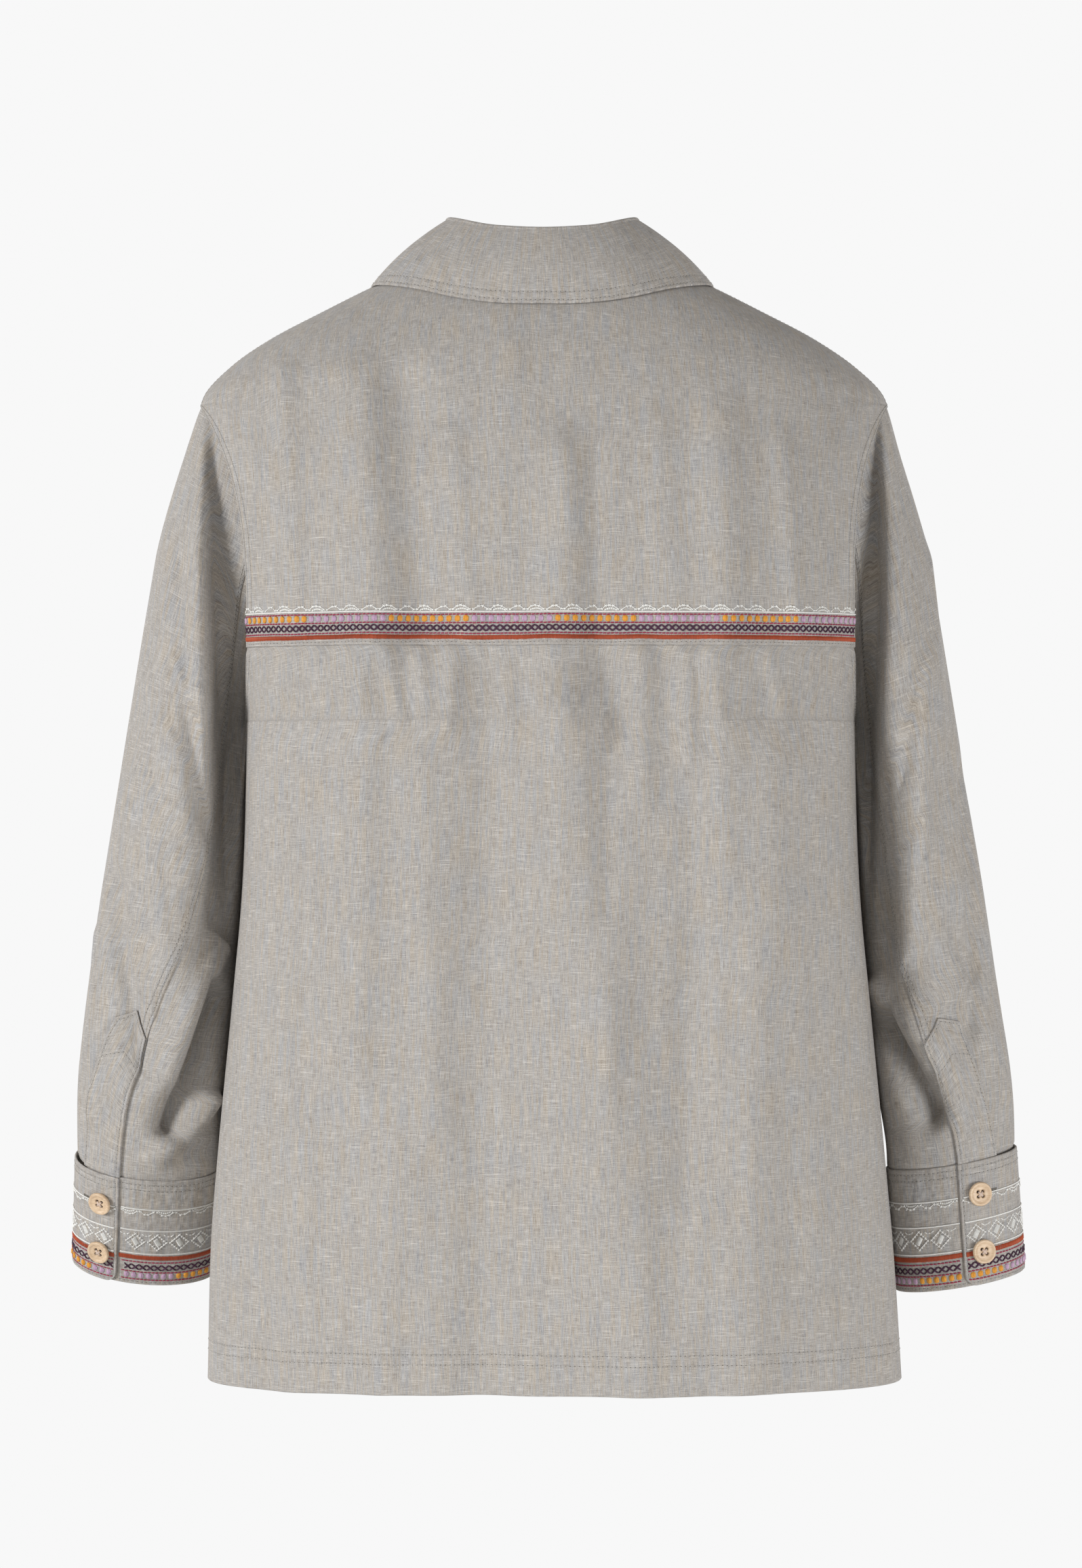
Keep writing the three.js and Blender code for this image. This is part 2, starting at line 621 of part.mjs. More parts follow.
// The corners of an armhole, which are those of the body's edges, from the hidden seam of the
// sleeve round the shoulder and the back to the hidden seam again
function armholeCorners(side) {
  const corner = (face, row) => ({
    turn: (row - 1) * 180,
    point: bodyPoint(side, face, row, 0),
  });
  const back = [
    ...steps(1, YOKE_ROW, GRID.yokeArmRows),
    ...steps(YOKE_ROW, 2, GRID.backArmRows).slice(1),
  ].map((row) => corner(1, row));
  const front = steps(1, 2, GRID.frontArmRows).map((row) => corner(-1, row));
  const before = front.map(({ turn, point }) => ({ turn: -turn, point }));
  const after = front.map(({ turn, point }) => ({ turn: 360 - turn, point }));
  return [...before.slice(1).reverse(), ...back, ...after.reverse().slice(1)]
    .filter(({ turn }) => turn > FRONT_SEAM_TURN - 361 && turn < FRONT_SEAM_TURN + 1);
}

// The surface of one of the two pieces of a sleeve, between two corners of the armhole and two
// turns that change on the way down
function sleeveSurface(point, corners, turnFrom, turnTo) {
  const last = corners.length - 1;
  return (across, way) => {
    const at = across * last;
    const i = Math.min(Math.floor(at), last - 1);
    const hole = corners[i].point.clone().lerp(corners[i + 1].point, at - i);
    const holeTurn = THREE.MathUtils.lerp(corners[i].turn, corners[i + 1].turn, at - i);
    const turn = THREE.MathUtils.lerp(turnFrom(way), turnTo(way), across);
    return point(THREE.MathUtils.lerp(holeTurn, turn, smooth(way, 0, SEAM_SETTLE_WAY)), way, hole);
  };
}

function sleevePieces(name, sleeve) {
  const point = sleevePoint(sleeve);
  const seamAt = column(sleeve.sections, 'way', 'backSeam');
  const corners = armholeCorners(sleeve.side);
  const backCorner = corners.findIndex(({ turn }) => turn > BACK_SEAM_TURN);
  const topCorners = corners.slice(0, backCorner + 1);
  const underCorners = corners.slice(backCorner);
  const top = sleeveSurface(point, topCorners, () => FRONT_SEAM_TURN - 360, seamAt);
  const under = sleeveSurface(point, underCorners, seamAt, () => FRONT_SEAM_TURN);
  const trim = SEAM_GAP / PIECE_WIDTH;
  const ways = steps(0, SLEEVE_END, GRID.sleeveRows);
  const topColumns = steps(trim, 1 - trim, 2 * (topCorners.length - 1));
  const underColumns = steps(trim, 1 - trim, 2 * (underCorners.length - 1));
  const flip = -sleeve.side;
  return [
    wall(`top_sleeve_${name}`, top, topColumns, ways, { flip }),
    wall(`under_sleeve_${name}`, under, underColumns, ways, { flip }),
    placket(name, sleeve, top, topColumns, ways),
  ];
}

// The placket lies on the flat facets of the top sleeve beside its back seam, over its last
// columns and rows, and ends in a pointed tower
function placket(name, sleeve, surface, columns, rows) {
  const patch = facets(surface, columns, rows);
  const end = columns.length - 1;
  const rowStep = rows[1] - rows[0];
  const across = PLACKET_COLUMNS.map((n) => columns[end] - n * (columns[1] - columns[0]));
  const lower = rows.slice(-PLACKET_ROWS);
  const tower = (u, v) => {
    const i = Math.min(Math.floor(v), lower.length - 1);
    const away = Math.abs(u - across[2]) / (across[4] - across[2]);
    const top = lower[0] - rowStep * THREE.MathUtils.lerp(TOWER_TIP, TOWER_SHOULDER, away);
    const from = i === 0 ? top : lower[i - 1];
    return patch(u, THREE.MathUtils.lerp(from, lower[i], v - i));
  };
  return wall(`sleeve_placket_${name}`, tower, across, steps(0, lower.length, lower.length),
    { flip: -sleeve.side, lift: PLACKET_LIFT });
}

// The surface that the flat facets of a wall have, by straight lines between its grid points
function facets(surface, us, vs) {
  const cell = (list, x) => {
    let i = 0;
    while (i < list.length - 2 && x > list[i + 1]) i += 1;
    return { i, t: (x - list[i]) / (list[i + 1] - list[i]) };
  };
  return (u, v) => {
    const a = cell(us, u);
    const b = cell(vs, v);
    const near = surface(us[a.i], vs[b.i]).lerp(surface(us[a.i + 1], vs[b.i]), a.t);
    const far = surface(us[a.i], vs[b.i + 1]).lerp(surface(us[a.i + 1], vs[b.i + 1]), a.t);
    return near.lerp(far, b.t);
  };
}

// A point of a cuff: turn in degrees, down from 0 at its top to 1 at its lower edge. Past a
// full round it lies one layer further out, over its own start.
function cuffPoint(sleeve) {
  const frame = cuffFrame(sleeve);
  return (turn, down) => {
    const angle = radians(turn);
    const layer = LAYER * smooth(turn, LAP_RISE, LAP_TOP + sleeve.lapEdge - CUFF_LAP);
    const half = sleeve.cuffHalf + layer;
    const depth = sleeve.cuffDepth + layer;
    return frame.top.clone()
      .addScaledVector(frame.down, down)
      .addScaledVector(frame.out, half * Math.cos(angle))
      .addScaledVector(frame.rear, depth * Math.sin(angle));
  };
}

function cuff(name, sleeve) {
  const turns = steps(sleeve.lapEdge - CUFF_LAP, 360 + sleeve.lapEdge, GRID.cuffColumns);
  return wall(`cuff_${name}`, cuffPoint(sleeve), turns, steps(0, 1, GRID.cuffRows), { flip: -sleeve.side });
}

// A turned button with a raised rim, its flat back on the cloth
function button(name, surface, u, v, flip, lift) {
  const profile = buttonProfile.map(
    ({ radius, height }) => new THREE.Vector2(radius * BUTTON_RADIUS, height * BUTTON_THICK));
  const geometry = new THREE.LatheGeometry(profile, GRID.buttonSides);
  const made = mesh(name, geometry, wood);
  const step = LONG_STEP;
  const point = surface(u, v);
  const pu = surface(u + step, v).sub(surface(u - step, v));
  const pv = surface(u, v + step).sub(surface(u, v - step));
  const normal = pu.cross(pv).normalize().multiplyScalar(flip);
  made.position.copy(point).addScaledVector(normal, lift);
  made.quaternion.setFromUnitVectors(new THREE.Vector3(0, 1, 0), normal);
  return made;
}

function cuffButtons(name, sleeve) {
  const inset = THREE.MathUtils.radToDeg(CUFF_BUTTON_INSET / sleeve.cuffHalf);
  return CUFF_BUTTON_SHARES.map((down, i) => button(
    `cuff_button_${name}_${i + 1}`, cuffPoint(sleeve), 360 + sleeve.lapEdge - inset, down,
    -sleeve.side, BUTTON_SEAT));
}

// The row of the body at a height below the shoulder tip
function rowAt(z) {
  return z > UNDERARM_Z ? armRow(z) : 2 + (UNDERARM_Z - z) / (UNDERARM_Z - HEM_Z);
}

function frontButtons() {
  const heights = steps(FIRST_BUTTON_Z, LAST_BUTTON_Z, FRONT_BUTTONS - 1);
  return heights.map((z, i) => button(
    `front_button_${i + 1}`, frontMiddle, 0, rowAt(z), -1, LAYER + BUTTON_SEAT));
}

const rollX = column(rollLine, 'share', 'x');
const rollY = column(rollLine, 'share', 'y');
const rollZ = column(rollLine, 'share', 'z');
const edgeRow = column(leafEdge, 'share', 'row');
const edgeRound = column(leafEdge, 'share', 'round');

// The neck edge of the body at a share of the collar, from the middle of the back to the front
function neckPoint(side, part) {
  const round = 1 - part * (1 + NECK_END);
  return bodyPoint(side, round >= 0 ? 1 : -1, 0, Math.abs(round));
}

// The top fold of the collar, and the level direction out of it
function rollPoint(side, part) {
  return new THREE.Vector3(side * rollX(part), rollY(part), rollZ(part));
}
function rollOut(side, part) {
  const step = ROLL_STEP;
  const a = rollPoint(side, Math.max(part - step, 0));
  const b = rollPoint(side, Math.min(part + step, 1));
  const along = b.sub(a);
  return new THREE.Vector3(-along.y, along.x, 0).multiplyScalar(side).normalize();
}

// The stand rises from the neck edge to just under the fold
function standPoint(across, up) {
  const side = across < 0 ? -1 : 1;
  const part = Math.abs(across);
  const low = neckPoint(side, part);
  const inward = new THREE.Vector3(-low.x, -low.y, 0).normalize();
  const start = low.clone().addScaledVector(inward, STAND_INSET).add(new THREE.Vector3(0, 0, STAND_RISE));
  const top = rollPoint(side, part).add(new THREE.Vector3(0, 0, -STAND_TOP));
  return start.lerp(top, up);
}

// The leaf starts above the stand, turns over in a half circle and falls to its edge,
// which lies on the body
function leafPoint(across, fall) {
  const side = across < 0 ? -1 : 1;
  const part = Math.abs(across);
  const roll = rollPoint(side, part);
  const out = rollOut(side, part);
  const hub = roll.clone().addScaledVector(out, COLLAR_ROLL).add(new THREE.Vector3(0, 0, -COLLAR_ROLL));
  if (fall <= LEAF_TURN) {
    const angle = Math.PI * (1 - fall / LEAF_TURN);
    return hub.addScaledVector(out, COLLAR_ROLL * Math.cos(angle))
      .add(new THREE.Vector3(0, 0, COLLAR_ROLL * Math.sin(angle)));
  }
  const from = hub.clone().addScaledVector(out, COLLAR_ROLL);
  const round = edgeRound(part);
  const row = edgeRow(part);
  const face = round >= 0 ? 1 : -1;
  const to = liftedBody(side, face, row, Math.abs(round), LEAF_LIFT);
  const middle = from.clone().add(to).multiplyScalar(0.5)
    .addScaledVector(out, LEAF_BULGE).add(new THREE.Vector3(0, 0, LEAF_BULGE / 2));
  const t = (fall - LEAF_TURN) / (1 - LEAF_TURN);
  return from.multiplyScalar((1 - t) ** 2).addScaledVector(middle, 2 * t * (1 - t))
    .addScaledVector(to, t * t);
}

function liftedBody(side, face, row, round, lift) {
  const step = LONG_STEP;
  const high = Math.min(round + step, 1);
  const low = Math.max(round - step, 0);
  const pu = bodyPoint(side, face, row, high).sub(bodyPoint(side, face, row, low));
  const pv = bodyPoint(side, face, row + step, round).sub(bodyPoint(side, face, row, round));
  const normal = pu.cross(pv).normalize().multiplyScalar(-side * face);
  return bodyPoint(side, face, row, round).addScaledVector(normal, lift);
}

function collar() {
  const columns = steps(-1, 1, GRID.collarColumns);
  return [
    wall('collar_stand', standPoint, columns, steps(0, 1, GRID.standRows), { flip: -1 }),
    wall('collar_leaf', leafPoint, columns, LEAF_FALLS),
  ];
}

const jacket = new THREE.Group();
jacket.name = 'jacket';
jacket.add(yoke(), back(), ...fronts(), frontBand(), ...collar(), ...frontButtons());
for (const [name, sleeve] of Object.entries(sleeves)) {
  jacket.add(...sleevePieces(name, sleeve), cuff(name, sleeve), ...cuffButtons(name, sleeve));
}

export default jacket;
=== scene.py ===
import bpy
import numpy as np
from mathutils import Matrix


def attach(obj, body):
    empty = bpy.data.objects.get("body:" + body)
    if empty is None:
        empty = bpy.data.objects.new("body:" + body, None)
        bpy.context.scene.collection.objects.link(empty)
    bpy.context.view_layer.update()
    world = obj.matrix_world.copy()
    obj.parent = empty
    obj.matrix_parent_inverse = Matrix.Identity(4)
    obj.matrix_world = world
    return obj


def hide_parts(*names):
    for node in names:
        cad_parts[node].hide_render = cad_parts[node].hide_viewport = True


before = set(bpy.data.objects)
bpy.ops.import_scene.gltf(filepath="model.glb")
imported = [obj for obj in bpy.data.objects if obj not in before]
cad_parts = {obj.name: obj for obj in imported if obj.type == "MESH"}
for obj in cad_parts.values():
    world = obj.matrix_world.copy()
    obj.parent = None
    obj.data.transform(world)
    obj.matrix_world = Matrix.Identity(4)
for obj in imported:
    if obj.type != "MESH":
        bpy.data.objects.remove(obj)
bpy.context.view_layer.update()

# A linen shirt jacket, filled out as if worn. Sizes are in millimetres up to the meshes, which
# are in metres. +Z is up, the back faces +Y and the wearer's left is +X.

MM = 0.001
BACK, FRONT = 1, -1
LEFT, RIGHT = 1, -1


def table(names, *rows):
    """Named columns of numbers from the rows of a table."""
    return {name: np.array(column, float) for name, column in zip(names.split(), zip(*rows))}


def reading(columns, key, value):
    """A smooth line through the points of two columns, with no overshoot: cubic pieces whose
    slope at a point is the harmonic mean of the steps before and after it."""
    order = np.argsort(columns[key])
    xs, ys = columns[key][order], columns[value][order]
    steps = np.diff(ys) / np.diff(xs)
    product, total = steps[:-1] * steps[1:], steps[:-1] + steps[1:]
    level = np.where(product > 0, 2 * product / np.where(product > 0, total, 1), 0)
    slopes = np.concatenate([steps[:1], level, steps[-1:]])

    def read(x):
        at = np.clip(x, xs[0], xs[-1])
        i = np.clip(np.searchsorted(xs, at, side="right") - 1, 0, len(xs) - 2)
        span = xs[i + 1] - xs[i]
        t = (at - xs[i]) / span
        rise = ys[i + 1] - ys[i]
        start, end = slopes[i] * span, slopes[i + 1] * span
        return ys[i] + t * start + t**2 * (3 * rise - 2 * start - end) + t**3 * (start + end - 2 * rise)

    return read


def smooth(x, low, high):
    """0 below low, 1 above high, and an S-shaped rise between."""
    t = np.clip((x - low) / (high - low), 0, 1)
    return t * t * (3 - 2 * t)


def mix(a, b, t):
    """a where t is 0, b where it is 1, and straight between."""
    return a + (b - a) * t


def unit(v):
    """Vectors at a length of one."""
    return v / np.maximum(np.linalg.norm(v, axis=-1, keepdims=True), 1e-12)


def points(x, y, z):
    """Points from three arrays of coordinates."""
    return np.stack(np.broadcast_arrays(x, y, z), axis=-1)


# The body

BACK_NECK_Z, FRONT_NECK_Z = -20, -75
TIP_Z, UNDERARM_Z, YOKE_Z, HEM_Z = -93, -300, -252, -728
TIP_HALF, UNDERARM_HALF, ARMHOLE_NARROW, ARMHOLE_DEPTH = 224, 198, 192, 61
SEAM_GAP = 0.4
LAYER = 1.9                             # from one layer of cloth to the next that lies on it
CLOTH, FOLDED = 1.1, 1.5                # thickness of single cloth and of the doubled band and leaf
STAND_THICK, CUFF_THICK = 1.3, 1.4
BAND_WIDTH, UNDERLAP_SHORT = 32, 1
NEAR_ROW, FAR_ROW = 1.6, 6.6            # rows of sewing, from the edge of the cloth
ONE_ROW = 4.2                           # the most that a distance says where only one row is sewn
HEM_ROWS, LEAF_ROWS, CUFF_ROWS, SLEEVE_ROWS = (19, 25.4), (1.8, 7.0), (3, 7.2), (1.6, 5.2)

shoulder_half = reading(table("z half", (0, 75), (-15, 109), (-33, 145), (-51, 179), (-68, 203.5),
                              (-86, 221), (TIP_Z, TIP_HALF)), "z", "half")
side_half = reading(table("z half", (UNDERARM_Z, UNDERARM_HALF), (-355, 199), (-404, 201),
                          (-493, 209), (-582, 217.6), (-648, 223), (HEM_Z, 226.5)), "z", "half")
depth_of = {
    BACK: reading(table("z y", (-20, 58), (-42, 75), (-93, 97), (-150, 108), (-250, 113),
                        (-355, 112), (-500, 109), (HEM_Z, 106)), "z", "y"),
    FRONT: reading(table("z y", (-75, 68), (-93, 80), (-150, 105), (-250, 122), (-355, 118),
                         (-500, 110), (HEM_Z, 106)), "z", "y"),
}
power_at = reading(table("z power", (0, 2), (-93, 2.2), (-150, 2.7), (-220, 3), (-300, 2.9),
                         (-500, 2.6), (HEM_Z, 2.4)), "z", "power")
lean_at = reading(table("z x", (-60, 0), (-240, -5.3), (-600, -5.8), (HEM_Z, -8)), "z", "x")

# Folds: a soft ridge, or a trough where its height is negative, from one point to another as
# seen from behind or in front. The first ones of each table are in the solids as well, where they
# are less than half as deep.
FOLD_COLUMNS = "x0 z0 x1 z1 width height"
folds_of = {
    BACK: table(
        FOLD_COLUMNS,
        (168, -75, 166, -235, 9, 2.5), (120, -80, 112, -245, 18, 4), (88, -90, 80, -240, 16, -3),
        (-8, -130, -8, -300, 18, 3.5), (-112, -110, -108, -400, 15, 3),
        (124, -262, 128, -520, 20, 4), (36, -270, 46, -730, 20, -4),
        (-14, -300, -58, -740, 24, 5), (-57, -258, -58, -350, 9, 2.5),
        (-142, -330, -118, -740, 22, 3.5), (165, -480, 172, -740, 22, 3),
        # smaller creases
        (104, -258, 96, -300, 5, 1.5), (84, -257, 80, -296, 5, 1.4), (62, -257, 66, -305, 6, 1.6),
        (124, -257, 120, -290, 5, 1.2), (30, -258, 26, -330, 7, 1.5), (-84, -257, -88, -318, 6, 1.8),
        (-100, -257, -106, -296, 5, 1.3), (-138, -257, -146, -290, 6, 1.2), (150, -257, 156, -300, 6, 1.2),
        (3, -257, -5, -430, 10, 2.2), (-32, -262, -34, -420, 10, -2.0), (-29, -130, -26, -240, 8, -1.2),
        (60, -120, 52, -235, 9, 1.2), (-70, -110, -78, -240, 10, 1.2), (-150, -120, -158, -245, 8, 1.3),
        (20, -60, 34, -190, 12, 1.1), (84, -330, 74, -560, 11, 1.7), (12, -440, 20, -640, 10, -1.6),
        (-92, -360, -84, -600, 11, -1.8), (146, -340, 150, -480, 9, 1.3), (-160, -420, -172, -640, 12, 1.7),
        (-36, -480, -20, -700, 10, 1.6), (96, -560, 112, -726, 12, 1.9), (-96, -610, -84, -726, 11, 1.5),
        (-176, -270, -184, -420, 8, 1.4), (178, -280, 184, -430, 8, 1.3)),
    FRONT: table(
        FOLD_COLUMNS,
        (105, -150, 92, -420, 20, 4), (-108, -150, -84, -460, 20, 4), (70, -430, 112, -740, 24, 4.5),
        (-64, -400, -122, -740, 24, 4.5), (150, -330, 160, -740, 20, -3), (-150, -330, -160, -740, 20, -3),
        # smaller creases
        (140, -110, 128, -240, 9, 1.2), (-136, -112, -122, -250, 9, 1.1), (60, -170, 52, -330, 10, 0.9),
        (-52, -190, -58, -360, 10, 0.9), (172, -280, 176, -470, 9, 1.1), (-172, -290, -180, -480, 9, 1.0),
        (40, -520, 58, -726, 11, 1.2), (-34, -560, -48, -726, 11, 1.1), (126, -520, 138, -726, 10, 1.2),
        (-136, -540, -146, -726, 10, 1.1)),
}
FOLD_EDGE, FOLD_FADE, FOLD_GAIN = 193, 28, 2.1
BLADE_ROWS, BLADE_START, BLADE_FULL = 0.14, 0.04, 0.3

ROW_STEP, ROUND_CELLS, SECTION_SAMPLES = 0.005, 256, 192


def edge_of_row(row, face):
    """The edge of the body at each row: along the shoulder seam from the neck (0) to the tip (1),
    down the armhole to the underarm (2), and down the side seam to the hem (3). Gives its x, y
    and z, and the height of the row on the centre line."""
    neck = BACK_NECK_Z if face == BACK else FRONT_NECK_Z
    shoulder_z = TIP_Z * row
    x_arm, y_arm, z_arm = armhole(np.pi * (row - 1))
    side_z = mix(UNDERARM_Z, HEM_Z, row - 2)
    on_shoulder, on_arm = row < 1, row < 2
    x = np.select([on_shoulder, on_arm], [shoulder_half(shoulder_z), x_arm], side_half(side_z))
    y = np.select([on_shoulder, on_arm], [0 * row, y_arm], 0)
    z = np.select([on_shoulder, on_arm], [shoulder_z, z_arm], side_z)
    centre = np.where(on_shoulder, shoulder_z + neck * (1 - row), z)
    return x, y, z, centre


def armhole(turn):
    """The armhole, by the angle from the shoulder tip (0) to the underarm (pi): a half ellipse in
    depth and height, whose x goes in from the tip and out again at the underarm."""
    high = (1 + np.cos(turn)) / 2
    x = (ARMHOLE_NARROW + (TIP_HALF - ARMHOLE_NARROW) * high**4
         + (UNDERARM_HALF - ARMHOLE_NARROW) * (1 - high) ** 2)
    return x, ARMHOLE_DEPTH * np.sin(turn), UNDERARM_Z + (TIP_Z - UNDERARM_Z) * high


def row_at(z):
    """The row of the body at a height below the shoulder tip."""
    cosine = np.clip(1 - 2 * (TIP_Z - z) / (TIP_Z - UNDERARM_Z), -1, 1)
    return np.where(z > UNDERARM_Z, 1 + np.arccos(cosine) / np.pi,
                    2 + (UNDERARM_Z - z) / (UNDERARM_Z - HEM_Z))


def sections(face):
    """Half sections of the body for closely spaced rows: superellipses through the edge and the
    centre line, read at equal steps of length. Gives a grid of points and the half lengths."""
    row = np.arange(round(3 / ROW_STEP) + 1) * ROW_STEP
    x, y, z, centre = edge_of_row(row, face)
    depth, power = depth_of[face](centre), power_at(centre)
    half = x / (1 - (y / depth) ** power) ** (1 / power)
    share = np.linspace(0, 1, SECTION_SAMPLES + 1)
    angle = mix(np.arctan2(y, x)[:, None], np.pi / 2, share)
    cosine, sine = np.maximum(np.cos(angle), 0), np.sin(angle)
    p = power[:, None]
    radius = ((cosine / half[:, None]) ** p + (sine / depth[:, None]) ** p) ** (-1 / p)
    xs, ys = radius * cosine, radius * sine
    far = np.concatenate([0 * row[:, None], np.cumsum(np.hypot(np.diff(xs), np.diff(ys)), axis=1)], axis=1)
    even = np.linspace(0, 1, ROUND_CELLS + 1)
    xs = np.stack([np.interp(even * f[-1], f, a) for f, a in zip(far, xs)])
    ys = np.stack([np.interp(even * f[-1], f, a) for f, a in zip(far, ys)])
    drop = (1 - np.cos(np.pi * even)) / 2
    zs = mix(z[:, None], centre[:, None], drop)
    return points(xs, face * ys, zs), far[:, -1]


section_grid = {face: sections(face) for face in (BACK, FRONT)}


def between(grid, i, j):
    """Values of a grid between its rows and columns, by straight lines."""
    i = np.clip(i, 0, grid.shape[0] - 1.000001)
    j = np.clip(j, 0, grid.shape[1] - 1.000001)
    a, b = i.astype(int), j.astype(int)
    s, t = (i - a)[..., None], (j - b)[..., None]
    return mix(mix(grid[a, b], grid[a, b + 1], t), mix(grid[a + 1, b], grid[a + 1, b + 1], t), s)


def half_length(row, face):
    """The way round half of the body at a row, from the edge to the centre line."""
    lengths = section_grid[face][1]
    return np.interp(row, np.arange(len(lengths)) * ROW_STEP, lengths)


def ridges(folds, px, py):
    """The sum of soft ridges: each is full on the line between its two ends and falls away from
    it as a bell curve of its width."""
    total = 0
    for x0, z0, x1, z1, width, height in zip(*folds.values()):
        dx, dy = x1 - x0, z1 - z0
        t = np.clip(((px - x0) * dx + (py - z0) * dy) / (dx * dx + dy * dy), 0, 1)
        away = np.hypot(px - x0 - t * dx, py - z0 - t * dy) / width
        total = total + height * np.exp(-(away**2))
    return total


def body(across, row, face):
    """A point of the body: across goes from the wearer's right edge (-1) over the centre line (0)
    to the left edge (1). The turn over the shoulder blades is the mean of the rows around it,
    and the folds and the lean to one side are added."""
    across, row = np.broadcast_arrays(np.asarray(across, float), np.asarray(row, float))
    grid = section_grid[face][0]
    away = np.clip(1 - np.abs(across), 0, 1)
    column = away * ROUND_CELLS
    point = between(grid, row / ROW_STEP, column)
    soften = np.clip(1 - np.abs(row - 1) / (2 * BLADE_ROWS), 0, 1) * smooth(away, BLADE_START, BLADE_FULL)
    above = between(grid, (row - BLADE_ROWS) / ROW_STEP, column)
    below = between(grid, (row + BLADE_ROWS) / ROW_STEP, column)
    point = mix(point, (above + below) / 2, soften[..., None])
    x, y, z = np.where(across < 0, -1, 1) * point[..., 0], point[..., 1], point[..., 2]
    fade = 1 - smooth(np.abs(x), FOLD_EDGE - FOLD_FADE, FOLD_EDGE)
    lift = FOLD_GAIN * ridges(folds_of[face], x, z) * fade
    return points(x + lean_at(z), y + face * lift, z)


# Cloth

class Panel:
    """A piece of cloth as a grid of points of its middle surface: a function of two numbers, the
    column u and the row v. facing is 1 where u crossed with v points out of the garment."""

    def __init__(self, surface, us, vs, facing, lift=0, raised=None):
        self.us, self.vs = np.asarray(us, float), np.asarray(vs, float)
        u, v = np.meshgrid(self.us, self.vs)
        at = surface(u, v)
        normal = self.slopes(at) * facing
        lift = lift + (0 if raised is None else raised(u, v))
        self.u, self.v, self.facing = u, v, facing
        self.points = at + normal * np.broadcast_to(lift, u.shape)[..., None]
        self.normals = self.slopes(self.points) * facing

    def slopes(self, at):
        """Unit normals: the slope along the columns crossed with the slope down the rows."""
        return unit(np.cross(np.gradient(at, self.us, axis=1), np.gradient(at, self.vs, axis=0)))

    def at(self, u, v, lift=0):
        """Points of the cloth, moved out by lift, and their normals."""
        u, v = np.broadcast_arrays(np.asarray(u, float), np.asarray(v, float))
        j = np.interp(u, self.us, np.arange(len(self.us)))
        i = np.interp(v, self.vs, np.arange(len(self.vs)))
        normal = unit(between(self.normals, i, j))
        return between(self.points, i, j) + normal * np.asarray(lift)[..., None], normal

    def lengths(self):
        """Distances along the cloth: across each row from its first column, and down each column
        from its first row."""
        across = np.linalg.norm(np.diff(self.points, axis=1), axis=-1)
        down = np.linalg.norm(np.diff(self.points, axis=0), axis=-1)
        return (np.concatenate([0 * across[:, :1], np.cumsum(across, axis=1)], axis=1),
                np.concatenate([0 * down[:1], np.cumsum(down, axis=0)], axis=0))


def new_mesh(name, at, faces, finish, uv=None, fields=None, dye=None):
    """A mesh object from points in millimetres and faces, all four-sided or all three-sided,
    smooth, with a cloth map in metres and values at its points."""
    mesh = bpy.data.meshes.new(name)
    faces = np.asarray(faces)
    mesh.vertices.add(len(at))
    mesh.vertices.foreach_set("co", (np.asarray(at) * MM).astype(np.float32).ravel())
    sides = faces.shape[1]
    mesh.loops.add(faces.size)
    mesh.loops.foreach_set("vertex_index", faces.astype(np.int32).ravel())
    mesh.polygons.add(len(faces))
    mesh.polygons.foreach_set("loop_start", np.arange(0, faces.size, sides, dtype=np.int32))
    mesh.polygons.foreach_set("use_smooth", np.ones(len(faces), bool))
    if uv is not None:
        layer = mesh.uv_layers.new(name="cloth")
        layer.data.foreach_set("uv", (np.asarray(uv)[faces.ravel()] * MM).astype(np.float32).ravel())
    for field, values in (fields or {}).items():
        made = mesh.attributes.new(field, "FLOAT", "POINT")
        made.data.foreach_set("value", np.asarray(values, np.float32).ravel())
    if dye is not None:
        made = mesh.attributes.new("dye", "FLOAT_COLOR", "POINT")
        full = np.concatenate([dye, np.ones((len(dye), 1))], axis=1)
        made.data.foreach_set("color", full.astype(np.float32).ravel())
    mesh.update(calc_edges=True)
    mesh.validate()
    mesh.materials.append(finish)
    made = bpy.data.objects.new(name, mesh)
    bpy.context.scene.collection.objects.link(made)
    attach(made, "root")
    return made


FAR = 60                                # a distance past every row of sewing


def onto_rows(distance, rows):
    """Distances from an edge, stretched so that two rows of sewing come to the two rows that the
    linen presses in."""
    return NEAR_ROW + (distance - rows[0]) * (FAR_ROW - NEAR_ROW) / (rows[1] - rows[0])


def grid_faces(rows, columns):
    """A grid of point numbers, its four-sided faces and its border, all the way round."""
    index = np.arange(rows * columns).reshape(rows, columns)
    corners = [index[:-1, :-1], index[:-1, 1:], index[1:, 1:], index[1:, :-1]]
    border = np.concatenate([index[0, :-1], index[:-1, -1], index[-1, :0:-1], index[:0:-1, 0]])
    return index, np.stack(corners, -1).reshape(-1, 4), border


